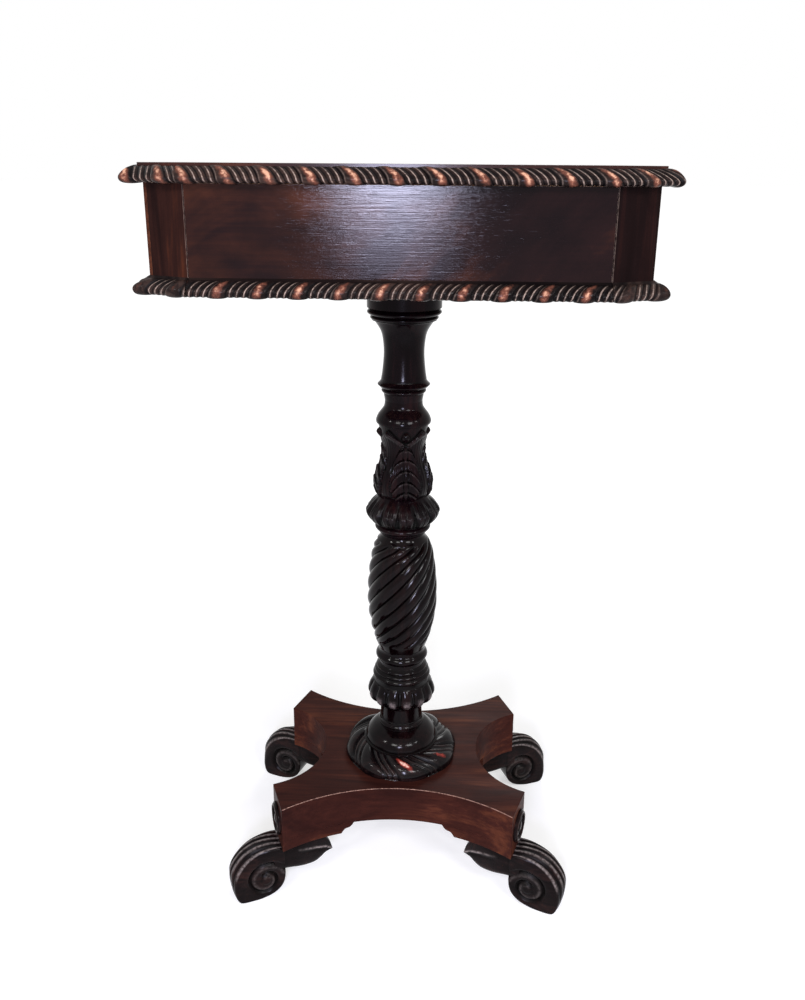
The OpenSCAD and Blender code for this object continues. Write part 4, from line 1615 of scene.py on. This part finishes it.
    def lower_stem(self) -> Piece:
        """Turns the knop, the rings and the dome that sits on the collar.

        Returns:
            The lower stem.
        """
        low = self.slab_top
        end = self.slab_z + self.tenon_gap
        seat = [
            (self.tenon, 0), (30, 0), (30, 17), (40.6, 17), (41, 17.4), (41, 18.3), (40.5, 18.8),
            (39.2, 19.2),
        ]
        dome = [(39, 22), (36.6, 27), (31, 32.5), (24, 36)]
        neck = [(24, 37.6), *bead(24, 1.2, 38, 42), (23.5, 44), (23.5, 45), (22.9, 45.6), (22.8, 50)]
        knop = [
            (22.7, 60), (23.6, 63.4), (28.6, 66.8), (33.8, 70.6), (36.3, 74.6), (36.7, 78.6), (35.3, 84),
            (33.4, 88), (31.2, 91.4),
        ]
        rings = [
            (30.2, 92.4), (30.0, 96.6), *bead(30.2, 1.0, 97.2, 101), (29.3, 102),
            *bead(28.6, 0.9, 102.6, 105.8), (27.6, 106.6), *bead(26.6, 0.9, 107.4, 110.6), (24.8, 112),
            (24, 113), (0, 113),
        ]
        outline = [
            (0, end), (self.tenon, end),
            *raised(low, [*seat, *smooth_line(dome, 8), *neck, *smooth_line(knop, 10), *rings]),
        ]

        def rule(azimuth: Array, height: Array, radius: Array) -> Cut:
            """Cuts the knop's drop-shaped lobes with narrow darts between them, with painted shade in the
            darts and notches and a light mark on the lobes' crowns that is partly worn polish and partly a
            painted highlight.

            Args:
                azimuth: Azimuth of each point, in degrees from the front.
                height: Height of each point, in mm.
                radius: Radius of each point, in mm; not used.

            Returns:
                The cut.
            """
            up = height - low
            fade = unit(np.minimum((up - 63) / 5, (91.4 - up) / 3)) ** 0.5
            t = off_centre((azimuth - self.knop_azimuth) / (360 / self.knop_lobes))
            dart = 0.4 * unit(1 - np.abs(t - 1) / 0.12) ** 0.7
            crest = np.where(t < self.knop_lobe, arch(t / self.knop_lobe), dart)
            # Painted shade in the darts; the light mark round the widest part of the lobes' crowns is partly
            # worn polish, partly a painted highlight
            cut = Cut(
                rise=-3.2 * fade * (1 - crest),
                rub=0.8 * fade * unit((crest - 0.8) / 0.2) * unit(1 - np.abs(up - 76) / 6),
                grime=0.95 * fade * unit(1 - crest * 1.6),
            )
            # Painted shade in the notches between the rings
            cut.darken(up, (19.3, 36.8, 45.2, 92.2, 94.5, 96.6, 101.8, 106.4, 111.6), 0.75, 0.8)
            return cut

        return TurnedPiece("lower_stem_knop", outline, sides=280).carved(rule)

    def ring(self) -> Piece:
        """Turns the collar and cuts its swirled lobes.

        Returns:
            The collar.
        """
        low = self.slab_top
        hole = 30.1
        top = smooth_line([
            (60.2, 0), (61.0, 2.2), (60.4, 6.2), (57.4, 10.4), (53.0, 13.6), (47.6, 15.6), (42.6, 16.7),
            (39.6, 17.0),
        ], 6)
        outline = raised(low, [(hole, 0), *top, (hole, self.ring_h), (hole, 0)])
        pattern = LobePattern(
            share=0.58, reeds=2, reed_rise=0.3, line=0.2, patch_width=0.15, patch_length=0.3,
            patch_along=0.42, patch_slant=0.0,
        )

        def rule(azimuth: Array, height: Array, radius: Array) -> Cut:
            """Cuts a broad lobe and reeds in each repeat, swirled outwards, with the pattern's painted
            highlights and painted shade.

            Args:
                azimuth: Azimuth of each point, in degrees from the front.
                height: Height of each point, in mm.
                radius: Radius of each point, in mm.

            Returns:
                The cut.
            """
            inward = unit((61 - radius) / 21)
            start = self.ring_azimuth + self.ring_swirl / 2
            phase = self.ring_repeats * (azimuth - start) / 360 + pattern.share / 2
            lobes = pattern.cut(phase, 1.25 - 0.5 * inward, inward)
            fade = unit(np.sin(np.pi * unit(0.12 + 0.82 * inward))) ** 0.5
            place = azimuth - self.ring_swirl * inward
            front = bell(place, 2, 13) + 0.5 * bell(place, 56, 9)
            cut = Cut(turn=-self.ring_swirl * inward)
            # The pattern's painted highlights on the crests and painted shade in the valleys go on with the
            # carving; the wear is strongest on the front lobe
            cut.add(
                (radius > 40) & (height > low + 0.4),
                rise=3.8 * (lobes.rise - 0.5) * fade,
                wear=1.3 * lobes.wear * fade * front,
                rub=0.15 * lobes.rub * fade,
                grime=lobes.grime,
            )
            return cut

        return TurnedPiece("base_collar_swirl", outline, sides=384).carved(rule)


@dataclass
class CornerPlace:
    """The middle of a platform corner's end face, and the four ways to it."""

    corner_x: float = 117.7
    corner_y: float = 111.7
    side_x: float = 133.6
    side_y: float = 70.5

    def matrix(self, side: int, front: int) -> Matrix:
        """Gives the move that takes work with +X outwards to a corner.

        Args:
            side: 1 for the right, -1 for the left.
            front: 1 for the back, -1 for the front.

        Returns:
            The matrix, which mirrors where the corner needs it.
        """
        middle = Vector(((self.corner_x + self.side_x) / 2, (self.corner_y + self.side_y) / 2, 0)) * MM
        turn = math.atan2(self.side_x - self.corner_x, self.corner_y - self.side_y)
        mirror = Matrix.Diagonal((side, front, 1, 1))
        return mirror @ Matrix.Translation(middle) @ Matrix.Rotation(turn, 4, "Z")

    def placed(self, work: Piece, name: str, side: int, front: int) -> Piece:
        """Copies work to a corner with its own mesh.

        Args:
            work: The work, drawn with +X outwards.
            name: The copy's name.
            side: 1 for the right, -1 for the left.
            front: 1 for the back, -1 for the front.

        Returns:
            The copy, with its place in its mesh.
        """
        copy = work.copy()
        copy.data = work.data.copy()
        copy.name = name
        bpy.context.scene.collection.objects.link(copy)
        copy.data.transform(self.matrix(side, front))
        if side * front < 0:
            copy.data.flip_normals()
        return copy


@dataclass
class Platform:
    """The hollow-sided platform, its pads and the carved roundels on its end faces."""

    place: CornerPlace
    roundel_radius: float = 17.0
    roundel_rise: float = 4.0

    def build(self) -> None:
        """Makes the slab, the pads and the roundels."""
        wood = PLATFORM_WOOD.material(Grain.WIDTH)
        slab = DressedCopy("platform_slab", rounding=0.5, wear=0.8, worn_where=self._front_arris)
        slab.dress(wood)
        work = self.roundel()
        for corner, (side, front) in CORNERS.items():
            DressedCopy(f"pad_{corner}", rounding=0.25, wear=0.0).dress(wood)
            roundel = self.place.placed(work, f"roundel_{corner}_carved", side, front)
            settle(roundel, angle=45)
            register(roundel, FOOT_WOOD.material(Grain.UPRIGHT), f"roundel_{corner}")
        bpy.data.objects.remove(work)

    def _front_arris(self, centres: Array) -> Array:
        """Picks the top arris of the front, the only one rubbed light, from the faces' middles.

        Args:
            centres: The faces' middles, in mm.

        Returns:
            1 for a face on that arris, and 0 for any other.
        """
        high = centres[:, Z] > box_mm("platform_slab")[HIGH].z - 0.8
        between_corners = np.abs(centres[:, X]) < self.place.corner_x - 0.7
        return np.where(high & (centres[:, Y] < -50) & between_corners, 1.0, 0.0)

    def roundel(self) -> Piece:
        """Turns a disc with a rim bead and a boss, and cuts petals in its field.

        Returns:
            The disc, which faces +X.
        """
        r, t = self.roundel_radius, self.roundel_rise
        field_line = [(r - 5.2, t * 0.35), (r - 7, t * 0.5), (r * 0.5, t * 0.55), (r * 0.36, t * 0.4)]
        outline = [
            (0, 0), (r, 0), (r, t * 0.5),
            *[(r - 0.6 - 4 * i / 12, t * (0.5 + 0.48 * math.sin(math.pi * i / 12))) for i in range(13)],
            *smooth_line(field_line, 5),
            *[(r * 0.3 * math.cos(math.pi / 2 * i / 6), t * (0.4 + 0.58 * math.sin(math.pi / 2 * i / 6)))
              for i in range(7)],
        ]

        def rule(azimuth: Array, height: Array, radius: Array) -> Cut:
            """Cuts eight petals between the boss and the rim, with painted shade between the petals and
            inside the rim bead.

            Args:
                azimuth: Azimuth of each point, in degrees from the front.
                height: Height of each point, in mm.
                radius: Radius of each point, in mm.

            Returns:
                The cut.
            """
            petal = np.abs(np.sin(np.radians(azimuth * 4)))
            inside = (radius > r * 0.34) & (radius < r - 4.8) & (height > t * 0.2)
            cut = Cut()
            # Painted shade between the petals and in a ring inside the rim bead; the boss's top is worn
            cut.add(inside, rise=-1.0 * (1 - petal**0.6), grime=0.8 * (1 - petal) ** 2)
            cut.add(height > t * 0.9, wear=0.35)
            cut.add(height > 0.1, grime=0.8 * bell(radius, r - 5, 0.6))
            return cut

        work = TurnedPiece("roundel_work", outline, sides=96).carved(rule)
        middle = (box_mm("platform_slab")[HIGH].z + box_mm("pad_front_left")[LOW].z) / 2 * MM
        work.data.transform(Matrix.Translation((0, 0, middle)) @ Matrix.Rotation(math.pi / 2, 4, "Y"))
        return work


@dataclass
class ScrollFeet:
    """The four reeded scroll feet, each a volute with a leaf that carries it under its pad."""

    place: CornerPlace
    width: float = 33.0
    eye: Point = (17.6, 23.5)
    reeds: int = 5
    side_share: float = 0.3
    rounding: float = 0.6
    boss_radius: float = 5.2
    groove_start: float = -330.0
    groove_end: float = 172.0
    spiral: Sequence[Point] = (
        (-330, 7.6), (-270, 9.0), (-180, 12.0), (-90, 15.0), (7, 18.2), (55, 19.6), (100, 20.6), (137, 22.2),
        (175, 25.0),
    )
    under: Sequence[Point] = (
        (41, 0), (33, 0.0), (25, 0.4), (17, 2.0), (10, 4.4), (4.4, 8.2), (0.2, 13.2), (-2.3, 20),
        (-3.1, 27.5), (-2.9, 35.7), (-2.9, 50),
    )
    crown: Sequence[Point] = (
        (-2, 59.6), (6, 61.4), (14, 62.2), (22, 62.0), (30.2, 60.0), (37.2, 56.4), (43.2, 51.3), (49.6, 43),
        (53.2, 34.5), (53.8, 26), (52.6, 14), (50.2, 6.8), (46.4, 1.6),
    )
    side: Sequence[Point] = (
        (-2, 58), (6, 58.6), (13, 57.6), (19, 55.2), (25, 51.6), (31, 47), (36, 41.6), (40.2, 35.2),
        (43.4, 29), (46.2, 23), (48.6, 15), (48.4, 7.4), (45.6, 1.6),
    )
    leaf_back: float = -57.8
    leaf_front: float = 8.0
    leaf_under: Sequence[Point] = (
        (-57.8, 31.2), (-54, 31.4), (-49, 30.4), (-43, 26.8), (-36, 24.4), (-25, 25.6), (-11, 29), (0, 29.6),
        (8, 28),
    )
    leaf_over: Sequence[Point] = (
        (-57.8, 32.4), (-56.4, 38), (-54, 44.5), (-49, 51.4), (-41, 58.6), (-34, 60), (-10, 60), (0, 60),
        (8, 57),
    )
    leaf_plan: Sequence[Point] = (
        (-57.8, 0.6), (-54, 3.0), (-44, 7.0), (-32, 11.0), (-20, 14.6), (-10, 16.0), (8, 15.2),
    )
    leaf_fold: Sequence[Point] = ((-57.8, 32.5), (-50, 39.5), (-38, 45), (-16, 52))
    leaf_squareness: float = 4.8

    def build(self) -> None:
        """Carves one foot and sets a copy under each corner."""
        work = join([self.volute(), self.leaf()], "foot_work")
        for corner, (side, front) in CORNERS.items():
            foot = self.place.placed(work, f"foot_{corner}_carved", side, front)
            settle(foot, angle=48)
            register(foot, FOOT_WOOD.material(Grain.WIDTH), f"foot_{corner}")
        bpy.data.objects.remove(work)
        finish_nodes(PINE.material(Grain.UPRIGHT), "foot_dowels")

    def volute(self) -> Piece:
        """Carves the scroll from a ball: its poles become the two eyes, and its girdle the reeded rim.

        Returns:
            The closed scroll, drawn with +X outwards.
        """
        deselect()
        bpy.ops.mesh.primitive_uv_sphere_add(segments=180, ring_count=96, radius=1)
        piece = bpy.context.object
        ball = coordinates(piece)
        turn = np.arctan2(ball[:, 1], ball[:, 0])
        around = unit(np.arccos(np.clip(ball[:, 2], -1, 1)) / math.pi)
        crown, side = (self._reach(turn, line) for line in (self.crown, self.side))

        # Each side face takes an equal share of the way round the ball, and the rim takes the rest
        share = self.side_share
        on_rim = (around > share) & (around < 1 - share)
        across = np.clip((around - 0.5) / (0.5 - share), -1, 1)
        inward = unit(np.minimum(around, 1 - around) / share)
        reach = side + (crown - side) * arch(np.abs(across))
        radius = np.where(on_rim, reach, side * inward)
        half = self.width / 2
        degrees = np.degrees(turn)
        face = self._scroll_cut(radius, degrees)
        edge = unit((side - radius) / 1.6)
        rounding = self.rounding
        offset = (half - rounding + face.rise) - rounding * (1 - np.sqrt(edge * (2 - edge)))
        y = np.where(on_rim, across * (half - 2 * rounding), np.sign(around - 0.5) * offset)
        rim = self._reed_cut(across, degrees)
        radius = radius + np.where(on_rim, rim.rise, 0)
        x = self.eye[0] + radius * np.cos(turn)
        z = np.maximum(self.eye[1] + radius * np.sin(turn), 0)
        move_points(piece, np.column_stack([x, y, z]) * MM)
        paint(piece, rub=np.where(on_rim, rim.rub, face.rub), grime=np.where(on_rim, rim.grime, face.grime))
        close_shell(piece)
        return piece

    def _reach(self, turn: Array, line: Sequence[Point]) -> Array:
        """Gives how far from the eye an outline lies in each direction.

        Args:
            turn: Directions from the eye, in radians.
            line: The outline's upper part, from the pad round to the toe.

        Returns:
            The distances, in mm.
        """
        rim = np.array(smooth_line([*line, *self.under, line[0]], 6)) - self.eye
        rim_turn = np.unwrap(np.arctan2(rim[:, 1], rim[:, 0]))
        order = np.argsort(rim_turn)
        return np.interp(turn, rim_turn[order], np.hypot(*rim.T)[order], period=2 * math.pi)

    def _scroll_cut(self, radius: Array, degrees: Array) -> Cut:
        """Cuts the side face's spiral groove, the band that rolls in beside it and the eye, with painted
        shade in the groove, on the band and round the boss, and a painted highlight on the ridge.

        Args:
            radius: Distance from the eye's middle, in mm.
            degrees: Direction from the eye, counted up from outwards.

        Returns:
            The cut.
        """
        cut = Cut()
        for lap in (-360, 0):
            angle = degrees + lap
            off = radius - np.interp(angle, *zip(*self.spiral))
            fade = unit((angle - self.groove_start) / 60)
            groove = bell(off, -1.0, 1.9) * fade
            ridge = bell(off, -4.8, 1.6) * fade
            roll = unit(-off / 5.0) * unit(1 + off / 9)
            cut.add(
                (angle > self.groove_start) & (angle < self.groove_end),
                rise=-2.8 * groove + 0.5 * ridge - 0.9 * roll,
                rub=0.15 * ridge,
                grime=groove + 0.3 * roll,
            )
        cut.add(rise=1.2 * arch(radius / self.boss_radius, 2))
        cut.darken(radius, (self.boss_radius + 0.3,), 0.8, 0.5)
        cut.rise = np.clip(cut.rise, -3.2, 0.5)
        return cut

    def _reed_cut(self, across: Array, degrees: Array) -> Cut:
        """Cuts the reeds over the rim, which die out at the toe, with a painted highlight on each crest and
        painted shade in the valleys.

        Args:
            across: Place across the rim, from -1 to 1.
            degrees: Direction from the eye, counted up from outwards.

        Returns:
            The cut.
        """
        phase = (across * 0.9 * 0.5 + 0.5) * self.reeds
        t = np.abs(2 * (phase % 1) - 1)
        fade = unit((degrees + 20) / 22) * unit((128 - degrees) / 8)
        cut = Cut()
        cut.add(
            np.abs(across) <= 0.93,
            rise=-2.1 * (1 - arch(t, 2.1)) * fade,
            rub=0.6 * unit(1 - t / 0.5) * fade * unit((degrees - 5) / 20),
            grime=0.95 * unit((t - 0.62) / 0.3) * fade,
        )
        return cut

    def leaf(self) -> Piece:
        """Carves the leaf behind the scroll from a grid that is wrapped round it, with a painted highlight
        along its fold and painted shade in the hollow below it and where it meets the scroll.

        Returns:
            The closed leaf, drawn with +X outwards.
        """
        piece, t, around = wrapped_grid(80, 128)
        u = self.leaf_back + (self.leaf_front - self.leaf_back) * t
        turn = around * 2 * math.pi
        low, half, high = (follow(u, line) for line in (self.leaf_under, self.leaf_plan, self.leaf_over))
        cosine, sine = np.cos(turn), np.sin(turn)
        power = self.leaf_squareness
        reach = (np.abs(cosine) ** power + np.abs(sine) ** power) ** (-1 / power)
        y = half * reach * cosine
        z = (high + low) / 2 + (high - low) / 2 * reach * sine
        here = unit((-16 - u) / 26) * (np.abs(cosine) > 0.66)
        fold_line = np.interp(u, *zip(*self.leaf_fold))
        fold = bell(z, fold_line, 1.2) * here
        hollow = bell(z, fold_line - 3.4, 1.8) * here
        y += np.sign(y) * (0.8 * fold - 0.9 * hollow)
        move_points(piece, np.column_stack([u, y, z]) * MM)
        # Painted shade where the leaf meets the scroll and in the hollow, and a painted highlight along the
        # fold
        junction = bell(u, -3, 3) * (sine < 0.9)
        paint(piece, rub=0.8 * fold, grime=0.7 * hollow + 0.6 * junction)
        close_shell(piece)
        return piece


# The studio


WARM = (1.0, 0.98, 0.96)
COOL = (0.98, 0.98, 1.0)


@dataclass(frozen=True)
class Lamp:
    """A soft lamp: where it stands, where it points, its size in metres, its power and its tint."""

    name: str
    place: Tuple[float, float, float]
    aim: Tuple[float, float, float]
    size: Tuple[float, float]
    power: float
    tint: Tuple[float, float, float] = (1.0, 1.0, 1.0)

    def build(self) -> None:
        """Sets up the lamp."""
        data = bpy.data.lights.new(self.name, "AREA")
        data.shape = "RECTANGLE"
        data.size, data.size_y = self.size
        data.energy = self.power
        data.color = self.tint
        lamp = bpy.data.objects.new(self.name, data)
        lamp.location = self.place
        lamp.rotation_euler = (Vector(self.aim) - Vector(self.place)).to_track_quat("-Z", "Y").to_euler()
        bpy.context.scene.collection.objects.link(lamp)


@dataclass
class Studio:
    """The pale floor, the lamps, the white surroundings and the camera."""

    lamps: Sequence[Lamp] = (
        Lamp("front_lamp", (-0.06, -1.30, 0.74), (0, 0, 0.6), (0.18, 0.4), 6.0, (0.72, 0.71, 1.0)),
        Lamp("front_lamp_top", (-0.06, -1.29, 0.75), (0, 0, 0.6), (0.2, 0.13), 9.0, (0.74, 0.75, 1.0)),
        Lamp("glint_far_left", (-1.05, -0.62, 1.15), (0, 0, 0.3), (0.09, 0.09), 2.5, WARM),
        Lamp("glint_left", (-0.46, -1.13, 1.15), (0, 0, 0.3), (0.36, 0.22), 6.5, WARM),
        Lamp("glint_middle", (0.0, -1.22, 1.2), (0, 0, 0.3), (0.07, 0.07), 2.0, (1.0, 0.98, 0.97)),
        Lamp("glint_right", (0.62, -1.05, 1.1), (0, 0, 0.3), (0.4, 0.24), 9.0, COOL),
        Lamp("glint_far_right", (1.05, -0.62, 1.15), (0, 0, 0.3), (0.09, 0.09), 2.0, COOL),
        Lamp("back_lamp", (0.2, 1.6, 1.3), (0, 0, 0.4), (0.5, 0.5), 8.0),
    )
    camera_place: Tuple[float, float, float] = (0.0294, -0.8641, 0.7342)
    pan: float = 2.0
    pitch: float = 17.74
    roll: float = 0.447
    lens: float = 32.107
    shift_y: float = -0.0429
    shade_light: float = 0.22
    floor_radius: float = 60.0
    floor_gap: float = 0.0004

    def build(self) -> None:
        """Builds the studio."""
        for lamp in self.lamps:
            lamp.build()
        self._floor()
        self._surroundings()
        self._camera()
        bpy.context.scene.view_settings.view_transform = "Standard"

    def _floor(self) -> None:
        """Lays a pale floor that is white to the camera and keeps the table's shadow."""
        deselect()
        bpy.ops.mesh.primitive_circle_add(
            vertices=96, radius=self.floor_radius, fill_type="NGON", location=(0, 0, -self.floor_gap)
        )
        floor = bpy.context.object
        floor.name = "floor"
        bench = ShaderBench("pale_floor")
        place = bench.add("ShaderNodeTexCoord").outputs["Object"]
        away = bench.add("ShaderNodeVectorMath", {0: place}, operation="LENGTH").outputs["Value"]
        glow = bench.span(away, 0.3, 1.8, 0.56, 1.0)
        tooth = bench.span(bench.noise(place, 60, 3), 0, 1, 0.88, 0.92)
        tone = bench.add("ShaderNodeCombineColor", {0: tooth, 1: tooth, 2: tooth}).outputs[0]
        bench.set_shader({"Base Color": tone, "Roughness": 0.8, "IOR": 1.2})
        seen = self._seen(bench)
        light = bench.add("ShaderNodeEmission", {"Color": (1, 1, 1, 1), "Strength": glow})
        faint = bench.add("ShaderNodeBsdfDiffuse", {"Color": (0.55, 0.55, 0.55, 1)})
        white = bench.add("ShaderNodeAddShader", {0: light.outputs[0], 1: faint.outputs[0]})
        mixed = bench.add("ShaderNodeMixShader", {0: seen, 1: bench.shader.outputs[0], 2: white.outputs[0]})
        bench.tree.links.new(mixed.outputs[0], bench.tree.nodes["Material Output"].inputs["Surface"])
        floor.data.materials.append(bench.material)

    def _seen(self, bench: ShaderBench) -> Any:
        """Gives 1 for rays that see the background: the camera's, and those through gloss and glass.

        Args:
            bench: The bench of the floor's or the world's nodes.

        Returns:
            The socket.
        """
        rays = bench.add("ShaderNodeLightPath").outputs
        seen = bench.math("MAXIMUM", rays["Is Camera Ray"], rays["Is Glossy Ray"])
        return bench.math("MAXIMUM", seen, rays["Is Transmission Ray"])

    def _surroundings(self) -> None:
        """Makes the surroundings white to look at and a soft grey as light."""
        world = bpy.data.worlds.new("white_room")
        world.use_nodes = True
        bpy.context.scene.world = world
        bench = WorldBench(world)
        seen = self._seen(bench)
        white = bench.add("ShaderNodeBackground", {"Color": (1, 1, 1, 1), "Strength": 1.0})
        soft = bench.add("ShaderNodeBackground", {"Color": (1, 1, 1, 1), "Strength": self.shade_light})
        mixed = bench.add("ShaderNodeMixShader", {0: seen, 1: soft.outputs[0], 2: white.outputs[0]})
        bench.tree.links.new(mixed.outputs[0], bench.tree.nodes["World Output"].inputs["Surface"])

    def _camera(self) -> None:
        """Stands the camera where the photograph was taken from."""
        data = bpy.data.cameras.new("camera")
        data.sensor_width = 36
        data.lens = self.lens
        data.shift_y = self.shift_y
        data.clip_start = 0.01
        camera = bpy.data.objects.new("camera", data)
        pan = Matrix.Rotation(math.radians(self.pan), 4, "Z")
        turn = pan @ Matrix.Rotation(math.radians(90 - self.pitch), 4, "X")
        tilt = Matrix.Rotation(math.radians(self.roll), 4, "Z")
        camera.matrix_world = Matrix.Translation(self.camera_place) @ turn @ tilt
        bpy.context.scene.collection.objects.link(camera)
        bpy.context.scene.camera = camera


class WorldBench(ShaderBench):
    """A shader bench that works on the world."""

    def __init__(self, world: bpy.types.World) -> None:
        """Takes the world's nodes."""
        self.tree = world.node_tree


def main() -> None:
    """Builds the table's parts and the studio."""
    logging.basicConfig(level=logging.INFO, format="%(message)s")
    plan = FriezePlan()
    place = CornerPlace()
    for part in (TableTop(plan), Frieze(plan), Drawer(plan), Column(), Platform(place), ScrollFeet(place)):
        part.build()
        log.info("%s is done", type(part).__name__)
    Studio().build()


if __name__ == "__main__":
    main()
